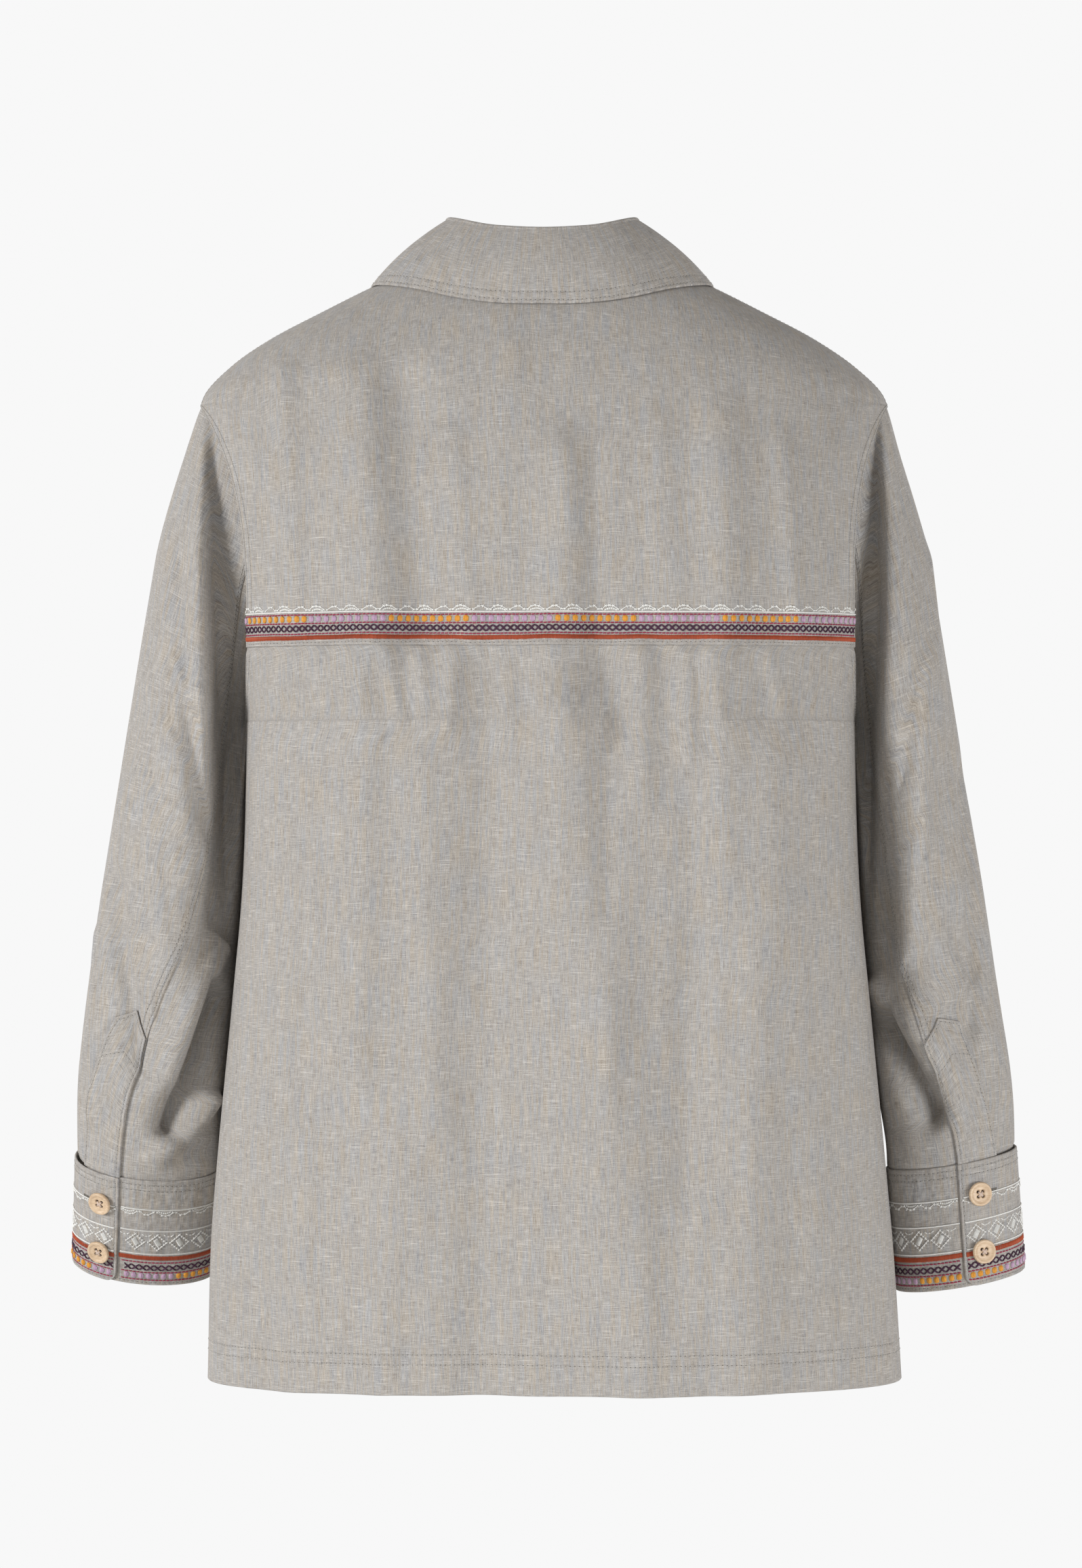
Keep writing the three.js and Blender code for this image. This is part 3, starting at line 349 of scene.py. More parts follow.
def sew(name, panel, nodes, finish, thick=CLOTH, fields=None, uv=None):
    """A closed piece of cloth round a panel: its outer and inner side, half the thickness away
    from the middle, and an edge of round section all the way round."""
    rows, columns = panel.u.shape
    half = thick / 2
    outer = (panel.points + panel.normals * half).reshape(-1, 3)
    inner = (panel.points - panel.normals * half).reshape(-1, 3)
    index, quads, ring = grid_faces(rows, columns)
    inside = np.concatenate([index[1, :-1], index[:-1, -2], index[-2, :0:-1], index[:0:-1, 1]])
    flat = panel.points.reshape(-1, 3)
    edge = flat[ring] + unit(flat[ring] - flat[inside]) * half
    quads = quads[:, ::panel.facing]
    count, rim = rows * columns, 2 * rows * columns + np.arange(len(ring))
    a, b, m, n = ring, np.roll(ring, -1), rim, np.roll(rim, -1)
    sides = np.concatenate([np.stack([a, m, n, b], -1), np.stack([m, count + a, count + b, n], -1)])
    sides = sides[:, ::panel.facing]
    faces = np.concatenate([quads, count + quads[:, ::-1], sides])
    if uv is None:
        across, down = panel.lengths()
        uv = np.stack([across, down], -1)
    uv = uv.reshape(-1, 2)
    near = {"seam": np.full(count, FAR), "hem": np.full(count, FAR)}
    for key, value in (fields or {}).items():
        near[key] = np.broadcast_to(value, panel.u.shape).ravel()
    near = {key: np.concatenate([value, value, value[ring]]) for key, value in near.items()}
    made = new_mesh(name, np.concatenate([outer, inner, edge]), faces, finish,
                    np.concatenate([uv, uv, uv[ring]]), near)
    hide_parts(*nodes)
    return made


# Threads

class Threads:
    """Stitches on one piece of cloth, each a short bar from one point of it to another. A point is
    given in the two numbers of a function that gives places on the cloth and their normals."""

    def __init__(self, place):
        self.place = place
        self.parts = []

    def add(self, start, end, width, high, dye, sink=0.25, ease=0.35):
        """Bars from the starts to the ends, of so many millimetres in width and height."""
        start, end = np.broadcast_arrays(np.atleast_2d(start), np.atleast_2d(end))
        size = np.ones(len(start))
        self.parts.append((start.astype(float), end.astype(float), size * width, size * high,
                           np.broadcast_to(dye, (len(start), 3)), size * sink, size * ease))

    def along(self, u, v, dye, length=2.2, step=3.0, width=0.48, high=0.3):
        """Running stitches of one real length, a step apart, along a line of places, with a flat dark bar
        over each gap between them: painted shade of the needle holes.
        """
        u, v = np.broadcast_arrays(np.asarray(u, float), np.asarray(v, float))
        steps = np.linalg.norm(np.diff(self.place(u, v)[0], axis=0), axis=-1)
        way = np.concatenate([[0], np.cumsum(steps)])
        start = np.arange(step / 2, way[-1] - length, step)
        ends = [np.stack([np.interp(at, way, u), np.interp(at, way, v)], -1)
                for at in (start, start + length, start - step + length)]
        self.add(ends[0], ends[1], width, high, dye)
        # A flat dark bar in each gap: painted shade of the needle holes.
        self.add(ends[2], ends[0], width, 0.08, PAINTED_HOLE_SHADE)

    def chain(self, xs, ys, width, high, dye):
        """Straight stitches from each point of a line to the next."""
        at = np.stack([xs, ys], -1)
        self.add(at[:-1], at[1:], width, high, dye)

    def mesh(self, name, finish, sides=4):
        """Each bar has four rings of a few points: full for most of its length, and smaller at
        both ends, which go down into the cloth."""
        start, end, width, high, dye, sink, ease = (np.concatenate(p) for p in zip(*self.parts))
        t = np.array([0, 0.13, 0.87, 1])
        rings = len(t)
        at = mix(start[:, None], end[:, None], t[:, None])
        base, normal = self.place(at[..., 0], at[..., 1])
        along = np.gradient(base, axis=1)
        across = unit(np.cross(normal, along))
        bow = np.array([0, 1, 1, 0])
        fat = mix(ease[:, None], 1, bow)
        rise = high[:, None] * bow - sink[:, None] * (1 - bow)
        turn = np.linspace(0, 2 * np.pi, sides, endpoint=False) + np.pi / 2
        aside = np.cos(turn) * (fat * width[:, None] / 2)[..., None]
        upward = rise[..., None] / 2 + np.sin(turn) * np.maximum(high[:, None] * fat / 2, 0.08)[..., None]
        at = (base[:, :, None]
              + (across[:, :, None] * aside[..., None] + normal[:, :, None] * upward[..., None]))
        n = len(start)
        index = np.arange(n * rings * sides).reshape(n, rings, sides)
        ahead = np.roll(index, -1, axis=2)
        walls = np.stack([index[:, :-1], ahead[:, :-1], ahead[:, 1:], index[:, 1:]], -1).reshape(-1, 4)
        first = index[:, 0, ::-1]
        last = index[:, -1]
        caps = [np.stack([c[:, 0], c[:, k], c[:, k + 1], c[:, min(k + 2, sides - 1)]], -1)
                for c in (first, last) for k in range(1, sides - 1, 2)]
        faces = np.concatenate([walls, *caps])
        degenerate = faces[:, 2] == faces[:, 3]
        tri = faces[degenerate][:, :3]
        quads = faces[~degenerate]
        triangles = np.concatenate([quads[:, [0, 1, 2]], quads[:, [0, 2, 3]], tri])
        dyes = np.repeat(dye, rings * sides, axis=0)
        return new_mesh(name, at.reshape(-1, 3), triangles, finish, dye=dyes)


# Finishes

class Value:
    """A number that changes over a surface. An expression on it adds Math nodes."""

    def __init__(self, finish, socket):
        self.finish, self.socket = finish, socket

    def math(self, operation, *others):
        return Value(self.finish, self.finish.node(
            "ShaderNodeMath", {"operation": operation}, dict(enumerate((self, *others))))[0])

    def __add__(self, other):
        return self.math("ADD", other)

    def __sub__(self, other):
        return self.math("SUBTRACT", other)

    def __mul__(self, other):
        return self.math("MULTIPLY", other)

    def __rsub__(self, other):
        return Value(self.finish, self.finish.node(
            "ShaderNodeMath", {"operation": "SUBTRACT"}, {0: other, 1: self})[0])

    def bell(self, middle, width):
        """1 at the middle, falling away to 0 over about the width on both sides."""
        away = (self - middle) * (1 / width)
        return (away * away * -1).math("EXPONENT")

    def clamp(self):
        return self.math("MAXIMUM", 0).math("MINIMUM", 1)

    __radd__, __rmul__ = __add__, __mul__


class Finish:
    """The nodes of a material, or of the world."""

    def __init__(self, owner):
        owner.use_nodes = True
        self.owner, self.tree = owner, owner.node_tree
        self.tree.nodes.clear()

    def node(self, kind, settings=None, values=None):
        """A node of a kind: its settings first, then the values or links of its sockets by name
        or number. Gives its outputs."""
        node = self.tree.nodes.new(kind)
        for key, value in (settings or {}).items():
            setattr(node, key, value)
        for key, value in (values or {}).items():
            if isinstance(value, Value):
                value = value.socket
            if isinstance(value, bpy.types.NodeSocket):
                self.tree.links.new(value, node.inputs[key])
            else:
                node.inputs[key].default_value = value
        return node.outputs

    def value(self, outputs, key=0):
        return Value(self, outputs[key])

    def field(self, name):
        """The number of this name at the points of the mesh."""
        return self.value(self.node("ShaderNodeAttribute", {"attribute_name": name}), 2)

    def split(self, where):
        """The three coordinates of a place."""
        return [Value(self, s) for s in self.node("ShaderNodeSeparateXYZ", None, {0: where})]

    def place(self, x, y, z=0.0):
        return self.node("ShaderNodeCombineXYZ", None, {0: x, 1: y, 2: z})[0]

    def noise(self, where, detail=1.0):
        """Soft noise, from about 0.25 to 0.75."""
        return self.value(self.node("ShaderNodeTexNoise", {"noise_dimensions": "3D"},
                                    {"Vector": where, "Scale": 1.0, "Detail": detail, "Roughness": 0.5}))

    def blend(self, share, a, b):
        """Colour a where the share is 0 and b where it is 1."""
        return self.node("ShaderNodeMix", {"data_type": "RGBA"}, {0: share, 6: a, 7: b})[2]

    def end(self, values):
        """The surface that closes a material."""
        surface = self.node("ShaderNodeBsdfPrincipled", None, values)[0]
        self.node("ShaderNodeOutputMaterial", None, {"Surface": surface})
        return self.owner


def shade(r, g, b):
    """A colour given in display values from 0 to 255, as light."""
    c = np.array([r, g, b]) / 255
    light = np.where(c <= 0.04045, c / 12.92, ((c + 0.055) / 1.055) ** 2.4)
    return (*light.tolist(), 1.0)


DARK_YARN, LIGHT_YARN = shade(104, 99, 93), shade(226, 223, 217)
COOL_YARN, WARM_YARN = shade(160, 165, 176), shade(181, 166, 148)


def linen():
    """Grey melange linen. Fine threads both ways along the cloth map, some of them thick and light
    for a short way, over long soft streaks of cooler and warmer yarn down the cloth. Rows of
    sewing press it in, and small puckers cross them."""
    f = Finish(bpy.data.materials.new("linen"))
    uv = f.node("ShaderNodeUVMap", {"uv_map": "cloth"})[0]
    x, y, _ = f.split(uv)
    across, down = x * 1000, y * 1000
    weft = f.noise(f.place(across * 0.16, down * 2.6), 2.0)
    warp = f.noise(f.place(across * 2.6, down * 0.13, 7.0), 2.0)
    weft_slub = f.noise(f.place(across * 0.055, down * 1.9, 13.0), 1.0)
    warp_slub = f.noise(f.place(across * 1.3, down * 0.035, 19.0), 1.0)
    grain = f.noise(f.place(across * 2.9, down * 2.9, 3.0), 1.0)
    cast = f.noise(f.place(across * 0.8, down * 0.03, 29.0), 3.0)
    hue = f.noise(f.place(across * 0.65, down * 0.03, 71.0), 2.0)
    patch = f.noise(f.place(across * 0.08, down * 0.02, 37.0), 2.0)
    bright = ((weft_slub - 0.595) * 9).clamp() * 0.4 + ((warp_slub - 0.62) * 6).clamp() * 0.2
    tone = (0.44 + (weft - 0.5) * 1.1 + (warp - 0.5) * 1.1 + (grain - 0.5) * 1.3 + bright
            + (patch - 0.5) * 0.16 + (cast - 0.5) * 0.32).clamp()
    yarn = f.blend(tone, DARK_YARN, LIGHT_YARN)
    tint = f.blend(((hue - 0.5) * 3.4 + 0.5).clamp(), COOL_YARN, WARM_YARN)
    colour = f.blend(0.38, yarn, tint)
    seam, hem = f.field("seam"), f.field("hem")
    rows = (seam.bell(NEAR_ROW, 0.7) + seam.bell(FAR_ROW, 0.7)
            + hem.bell(NEAR_ROW, 0.7) + hem.bell(FAR_ROW, 0.7))
    sewn = (seam.bell(4, 4.5) + hem.bell(4, 4.5)).clamp()
    pucker = f.noise(f.place(across * 0.16, down * 0.16, 43.0), 1.0)
    ripple = f.noise(f.place(across * 0.05, down * 0.018, 53.0), 2.0)
    crumple = f.noise(f.place(across * 0.03, down * 0.026, 61.0), 3.0)
    height = ((weft - 0.5) * 0.16 + (warp - 0.5) * 0.16 + (grain - 0.5) * 0.1 + bright * 0.1
              - rows * 0.22 + (pucker - 0.5) * sewn * 1.8 + (ripple - 0.5) * 1.3
              + (crumple - 0.5) * 2.0)
    bump = f.node("ShaderNodeBump", None, {"Strength": 1.0, "Distance": MM, "Height": height})[0]
    return f.end({"Base Color": colour, "Normal": bump, "Roughness": 0.92,
                  "Sheen Weight": 0.12, "Sheen Roughness": 0.5, "Specular IOR Level": 0.25})


def floss():
    """Shiny embroidery thread in the dye of its own points, with fine strands."""
    f = Finish(bpy.data.materials.new("floss"))
    dye = f.node("ShaderNodeAttribute", {"attribute_name": "dye"})[0]
    where = f.node("ShaderNodeTexCoord")[3]
    spread = f.node("ShaderNodeVectorMath", {"operation": "SCALE"}, {0: where, "Scale": 900.0})[0]
    strand = f.noise(spread, 2.0)
    darker = f.node("ShaderNodeVectorMath", {"operation": "SCALE"}, {0: dye, "Scale": 0.8})[0]
    colour = f.blend((strand * 1.6 - 0.25).clamp(), darker, dye)
    bump = f.node("ShaderNodeBump", None, {"Strength": 0.5, "Distance": 0.0002, "Height": strand})[0]
    return f.end({"Base Color": colour, "Normal": bump, "Roughness": 0.5,
                  "Sheen Weight": 0.15, "Specular IOR Level": 0.4})


def wood():
    """Light turned wood, with fine grain along one way and a satin surface. Where the mesh marks a hole it
    is painted dark brown: painted shade for the depth of the hole.
    """
    f = Finish(bpy.data.materials.new("button_wood"))
    where = f.node("ShaderNodeTexCoord")[3]
    x, y, z = f.split(where)
    grain = f.noise(f.place(x * 160, y * 900, z * 1500), 3.0)
    cloud = f.noise(f.place(x * 120, y * 120, z * 120), 2.0)
    tone = ((grain - 0.5) * 1.8 + (cloud - 0.5) * 0.8 + 0.5).clamp()
    colour = f.blend(tone, shade(194, 164, 132), shade(230, 206, 176))
    # Painted shade: the holes are coloured dark brown for their depth.
    colour = f.blend(f.field("hole").clamp(), colour, shade(48, 32, 22))
    bump = f.node("ShaderNodeBump", None, {"Strength": 0.4, "Distance": 0.0001, "Height": grain})[0]
    return f.end({"Base Color": colour, "Normal": bump, "Roughness": 0.42})


LINEN, FLOSS, WOOD = linen(), floss(), wood()

WHITE = shade(255, 255, 252)[:3]
YELLOW = shade(240, 170, 62)[:3]
LILAC = shade(208, 176, 204)[:3]
PURPLE = shade(68, 26, 58)[:3]
MAGENTA = shade(164, 44, 78)[:3]
ORANGE = shade(182, 80, 44)[:3]
SEWING = shade(192, 189, 183)[:3]
TWINE = shade(232, 212, 198)[:3]
# Painted shade: the dark of needle holes and of the slit of a buttonhole, laid on as flat dark thread.
PAINTED_HOLE_SHADE = shade(84, 78, 72)[:3]
BUTTONHOLE = shade(160, 157, 151)[:3]


# Yoke, back and fronts

YOKE_ROW = float(row_at(YOKE_Z))
ROW_TRIM = YOKE_ROW - float(row_at(YOKE_Z + SEAM_GAP / 2))
ALLOWANCE, ALLOWANCE_WIDE, ALLOWANCE_FADE = 0.45, 7, 9.5   # turned-in cloth that lifts the edges
UNDERARM_ROW = 2.001                    # just past the last row beside the armhole


def edged(values, near):
    """The same numbers with two more near each end, for a neat edge."""
    values = np.asarray(values, float)
    low, high = values[0], values[-1]
    way = np.sign(high - low) * near
    more = np.array([low + way, low + 3 * way, high - 3 * way, high - way])
    both = np.concatenate([values, more])
    return both[np.argsort(both * np.sign(high - low))]


def arm_rows(low, high, count):
    """Rows beside the armhole, half way between even steps of height and of the turn."""
    heights = np.linspace(edge_of_row(np.array([low]), BACK)[2][0],
                          edge_of_row(np.array([high]), BACK)[2][0], count)
    return mix(np.linspace(low, high, count), row_at(heights), 0.5)


def from_edge(u, v, face):
    """Distance in from the armhole, or from the shoulder seam above it."""
    return np.where(v < UNDERARM_ROW, (1 - np.abs(u)) * half_length(v, face), FAR)


def height_of(v):
    """The height of a row at its edge."""
    return edge_of_row(np.asarray(v, float), BACK)[2]


def back_surface(u, v):
    """The yoke and the back, from one side seam to the other."""
    return body(u * (1 - SEAM_GAP / 2 / half_length(v, BACK)), v, BACK)


def side_rise(u, v, face):
    """The cloth is proud over the allowance of its armhole."""
    return ALLOWANCE * (1 - smooth(from_edge(u, v, face), ALLOWANCE_WIDE, ALLOWANCE_FADE))


def yoke_rise(u, v):
    """The yoke is proud over the allowances at its lower edge and its armholes."""
    low = np.where(v > 1, 1 - smooth(height_of(v) - YOKE_Z, ALLOWANCE_WIDE, ALLOWANCE_WIDE + 3), 0)
    return np.maximum(ALLOWANCE * low, side_rise(u, v, BACK))


def back_rise(u, v):
    """The back goes in under the edge of the yoke, and is proud along its armholes."""
    under = 1 - smooth(YOKE_Z - height_of(v), 0, 5)
    return side_rise(u, v, BACK) * (1 - under) - 0.6 * under


COLUMN_EDGE, ROW_EDGE = 0.0016, 0.0009
back_columns = edged(np.linspace(-1, 1, 171), COLUMN_EDGE)
yoke_rows = np.concatenate([np.linspace(0, 1, 46)[:-1], arm_rows(1, YOKE_ROW - ROW_TRIM, 58)])
yoke = Panel(back_surface, back_columns, edged(yoke_rows, 0.0012), 1, raised=yoke_rise)
back_rows = np.concatenate([arm_rows(YOKE_ROW + ROW_TRIM, 2, 18)[:-1], np.linspace(2, 3, 136)])
back = Panel(back_surface, back_columns, edged(back_rows, ROW_EDGE), 1, raised=back_rise)


def flat_map(panel, column=0):
    """A cloth map in real lengths: columns measured from one column, rows up from the last row.
    What is added to it puts each piece at its own place on the cloth."""
    across, down = panel.lengths()
    return np.stack([across - across[:, [column]], down - down[-1:]], -1)


yoke_cloth = sew("yoke_cloth", yoke, ["yoke"], LINEN, uv=flat_map(yoke, len(yoke.us) // 2),
                 fields={"seam": from_edge(yoke.u, yoke.v, BACK)})
back_cloth = sew("back_cloth", back, ["back"], LINEN, uv=flat_map(back, len(back.us) // 2) + [1500, 0],
                 fields={"seam": from_edge(back.u, back.v, BACK),
                         "hem": onto_rows(height_of(back.v) - HEM_Z, HEM_ROWS)})


def front_surface(side, past):
    """One front, from its side edge (0) to its free edge (1), past the centre line."""
    def surface(t, v):
        length = half_length(v, FRONT)
        return body(side * mix(1 - SEAM_GAP / 2 / length, -past / length, t), v, FRONT)
    return surface


front_rows = edged(np.concatenate([np.linspace(0, 1, 34)[:-1], arm_rows(1, 2, 56)[:-1],
                                   np.linspace(2, 3, 98)]), ROW_EDGE)
fronts = {}
front_columns = edged(np.linspace(0, 1, 60), COLUMN_EDGE)
for name, side, past in (("left", LEFT, BAND_WIDTH / 2 - UNDERLAP_SHORT), ("right", RIGHT, -BAND_WIDTH / 2)):
    panel = Panel(front_surface(side, past), front_columns, front_rows, side,
                  raised=lambda u, v: side_rise(1 - u, v, FRONT))
    reach = half_length(panel.v, FRONT)
    made = sew(f"front_cloth_{name}", panel, [f"front_{name}"], LINEN,
               uv=flat_map(panel, -1) + [4000 + 1000 * side, 0],
               fields={"seam": np.where(panel.v < UNDERARM_ROW, panel.u * reach, FAR),
                       "hem": onto_rows(height_of(panel.v) - HEM_Z, HEM_ROWS)})
    fronts[name] = (panel, made)


def front_middle(x, v):
    """A point of the front, so many millimetres from the centre line."""
    return body(x / half_length(v, FRONT), v, FRONT)


band = Panel(front_middle, edged(np.linspace(-BAND_WIDTH / 2, BAND_WIDTH / 2, 11), 0.4),
             front_rows, -1, lift=LAYER)
band_cloth = sew("front_band_cloth", band, ["front_band"], LINEN, thick=FOLDED,
                 uv=flat_map(band) + [6000, 0],
                 fields={"seam": np.minimum(BAND_WIDTH / 2 - np.abs(band.u), ONE_ROW)})

# Sleeves

FRONT_SEAM = 240
SLEEVE_CLEAR, SLEEVE_RADIUS, SLEEVE_LENGTH = 1.3, 48, 490
SLEEVE_END = 1 - SEAM_GAP / 290
ARMHOLE_WAY, SEAM_SETTLE_WAY, CUFF_SETTLE_WAY, FOLD_END_WAY = 0.2, 0.12, 0.7, 0.93
ARMHOLE_TUCK, ARMHOLE_UNDER, ARMHOLE_GAP, ARMHOLE_DROP = 1.4, 1.4, 0.2, 0.3
CLEFT_TURN, CLEFT_SPREAD, RECESS_START = 138, 26, 0.009
CORNER, SLEEVE_FOLD_GAIN = 7, 1.35
CUFF_HEIGHT, CUFF_LAP, LAP_RISE, LAP_TOP = 80, 34, 330, 350

outer_at = reading(table("z x", (TIP_Z, 224), (-104, 230), (-133, 239), (-177, 250), (-222, 258),
                         (-288, 269), (-355, 280), (-422, 291), (-488, 300), (-555, 306),
                         (-590, 307)), "z", "x")
cleft_at = reading(table("way deep", (0, 0), (0.14, 13), (0.45, 15), (0.65, 8), (0.85, 0), (1, 0)),
                   "way", "deep")

# The ridge line down the back of each sleeve, how deep the cloth sinks inside it, and over how
# much width it does
RECESS_COLUMNS = "z edge deep"
recess_of = {
    LEFT: table(RECESS_COLUMNS, (TIP_Z, 222, 0), (-122, 221, 10), (-170, 221, 18), (-220, 221, 24),
                (-300, 219, 28), (-380, 216, 26), (-440, 214, 10), (-500, 212, 0)),
    RIGHT: table(RECESS_COLUMNS, (TIP_Z, 221, 0), (-122, 221, 10), (-170, 222, 19), (-220, 223, 24),
                 (-300, 221, 26), (-380, 219, 25), (-440, 217, 8), (-480, 216, 0)),
}
ridge_at = {side: reading(recess, "z", "edge") for side, recess in recess_of.items()}
sunk_at = {side: reading(recess, "z", "deep") for side, recess in recess_of.items()}
RECESS_SOFT = {LEFT: 9, RIGHT: 5}
SLEEVE_COLUMNS, SLEEVE_FOLDS = "way depth centre seam", "way0 turn0 way1 turn1 width height"


class Sleeve:
    """One sleeve and its cuff. Round a section, 0 degrees is outermost, 90 the back and 180 next
    to the body; the way goes from 0 at the armhole to 1 at the cuff."""

    def __init__(self, side, cuff_top, cuff_end, cuff_half, cuff_depth, cuff_tilt, lap_edge, hole_seam,
                 sections, folds):
        self.side, self.cuff_half, self.cuff_depth, self.lap_edge = side, cuff_half, cuff_depth, lap_edge
        self.hole_seam = hole_seam
        self.top, end = np.array(cuff_top, float), np.array(cuff_end, float)
        self.down = end - self.top
        tilt = np.radians(cuff_tilt)
        self.out = np.array([side * np.cos(tilt), 0, np.sin(tilt)])
        rear = unit(np.cross(self.down, self.out))
        self.rear = rear * (1 if rear[1] > 0 else -1)
        self.depth_at = reading(sections, "way", "depth")
        self.centre_at = reading(sections, "way", "centre")
        self.seam_at = reading(sections, "way", "seam")
        around, along = np.radians(1) * SLEEVE_RADIUS, SLEEVE_LENGTH
        self.rolled = {"x0": folds["turn0"] * around, "z0": folds["way0"] * along,
                       "x1": folds["turn1"] * around, "z1": folds["way1"] * along,
                       "width": folds["width"], "height": SLEEVE_FOLD_GAIN * folds["height"]}

    def hole(self, turn):
        """The edge of the armhole in the body."""
        x, y, z = armhole(np.radians(turn))
        return points(self.side * x + lean_at(z), y, z)

    def point(self, turn, way, hole_turn):
        """An ellipse between the outer line of the sleeve and the side of the body, which takes
        the armhole's form at its top, tucked in under the body's edge, and the cuff's at its end.
        It is hollowed beside the back, with folds that push it out or in along the line from its
        middle, and sunk between the armhole and a ridge that runs down the back of it."""
        side, angle = self.side, np.radians(turn)
        cosine, sine = np.cos(angle), np.sin(angle)
        end_out, end_in = self.top + self.out * self.cuff_half, self.top - self.out * self.cuff_half
        outer_z, inner_z = mix(TIP_Z, end_out[2], way), mix(UNDERARM_Z, end_in[2], way)
        settle = smooth(way, CUFF_SETTLE_WAY, 1)
        outer_x = mix(outer_at(outer_z), abs(end_out[0]), settle**2)
        beside = side_half(inner_z) + side * lean_at(inner_z) + SLEEVE_CLEAR
        inner_x = mix(beside, abs(end_in[0]), settle**3)
        middle = points(side * (outer_x + inner_x) / 2, self.centre_at(way), (outer_z + inner_z) / 2)
        half = points(side * (outer_x - inner_x) / 2, 0 * way, (outer_z - inner_z) / 2)
        rear = mix(np.array([0, 1, 0]), self.rear, settle[..., None])
        at = middle + half * cosine[..., None] + rear * (self.depth_at(way) * sine)[..., None]
        ease = 1 - smooth(way, 0, ARMHOLE_WAY)
        inner = (1 - cosine) / 2
        gap = points(side * mix(-ARMHOLE_TUCK * np.abs(sine), SLEEVE_CLEAR, inner**3),
                     -ARMHOLE_UNDER * sine, -ARMHOLE_GAP - ARMHOLE_DROP * (1 - inner))
        at = mix(at, self.hole(hole_turn) + gap, ease[..., None])
        away = at - middle
        away[..., 2] = 0
        cleft = np.exp(-(((turn - CLEFT_TURN) / CLEFT_SPREAD) ** 2)) * cleft_at(way)
        fold = ridges(self.rolled, angle * SLEEVE_RADIUS, way * SLEEVE_LENGTH)
        off = (fold - cleft) * (1 - ease) * (1 - smooth(way, FOLD_END_WAY, 1))
        at = at + unit(away) * off[..., None]
        ridge = ridge_at[side](at[..., 2])
        sunk = (sunk_at[side](at[..., 2]) * smooth(at[..., 1], 0, 30) * smooth(way, 0, RECESS_START)
                * (1 - smooth(np.abs(at[..., 0]), ridge - RECESS_SOFT[side], ridge + 1)))
        return at - points(0, sunk, 0)

    def piece(self, hole_from, hole_to, turn_from, turn_to):
        """One of the two pieces of the sleeve, between two turns of the armhole and two turns
        that change on the way down."""
        def surface(share, way):
            hole_turn = mix(hole_from, hole_to, share)
            turn = mix(turn_from(way), turn_to(way), share)
            return self.point(mix(hole_turn, turn, smooth(way, 0, SEAM_SETTLE_WAY)), way, hole_turn)
        return surface

    def cuff(self, turn, down):
        """The cuff: an ellipse carried down its axis. Past a full round it lies one layer further
        out, over its own start. The lower corner of its free end is pulled in to a round."""
        reach = np.degrees(CORNER / self.cuff_half)
        a = np.clip(1 - (360 + self.lap_edge - turn) / reach, 0, 1)
        b = np.clip(1 - (1 - down) * CUFF_HEIGHT / CORNER, 0, 1)
        turn = turn - a * (1 - np.sqrt(1 - b**2 / 2)) * reach
        down = down - b * (1 - np.sqrt(1 - a**2 / 2)) * CORNER / CUFF_HEIGHT
        angle = np.radians(turn)
        layer = LAYER * smooth(turn, LAP_RISE, LAP_TOP + self.lap_edge - CUFF_LAP)
        return (self.top + self.down * down[..., None]
                + self.out * ((self.cuff_half + layer) * np.cos(angle))[..., None]
                + self.rear * ((self.cuff_depth + layer) * np.sin(angle))[..., None])


sleeves = {
    "left": Sleeve(
        LEFT, (260, -30, -589), (265, -67, -660), 47, 26, 5, 69, 92,
        table(SLEEVE_COLUMNS, (0, 61, 0, 120), (0.12, 60, -2, 124), (0.3, 58, -4, 128), (0.55, 54, -8, 112),
              (0.75, 44, -14, 90), (0.88, 34, -21, 76), (1, 26.5, -30, 69)),
        table(SLEEVE_FOLDS, (0.16, 62, 0.36, 110, 13, -5), (0.52, 150, 0.82, 104, 10, 8),
              (0.62, 152, 0.9, 114, 10, -14), (0.62, 38, 0.82, 80, 12, -6), (0.84, 150, 0.96, 100, 8, 5.5),
              (0.2, 95, 0.34, 40, 8, 2.4), (0.34, 70, 0.52, 30, 8, 2.2), (0.45, 60, 0.62, 88, 7, 2.2),
              (0.7, 20, 0.92, 46, 7, 2), (0.3, -30, 0.7, -60, 12, 2.6), (0.55, -70, 0.85, -20, 12, -2.4),
              (0.1, 66, 0.24, 72, 8, 2.6), (0.66, 60, 0.78, 96, 6, 2.2))),
    "right": Sleeve(
        RIGHT, (-269, -16, -586), (-275, -23, -665.5), 42, 33, 10, 88, 84,
        table(SLEEVE_COLUMNS, (0, 61, 0, 130), (0.12, 60, -2, 134), (0.3, 58, -4, 134), (0.55, 54, -8, 128),
              (0.75, 46, -11, 108), (0.88, 40, -13, 96), (1, 33.5, -16, 88)),
        table(SLEEVE_FOLDS, (0.3, 60, 0.6, 112, 15, 4.5), (0.68, 154, 0.9, 108, 11, -15),
              (0.6, 160, 0.8, 100, 12, 6), (0.5, 20, 0.8, 60, 11, -5),
              (0.16, 60, 0.34, 90, 8, -2.2), (0.2, 20, 0.4, 50, 9, 2.2), (0.45, 84, 0.62, 50, 7, 2),
              (0.74, 60, 0.92, 30, 7, 2.2), (0.3, -40, 0.7, -70, 12, 2.6), (0.5, -80, 0.85, -30, 12, -2.4),
              (0.09, 62, 0.26, 76, 7, 3), (0.62, 74, 0.74, 50, 7, -2.2))),
}


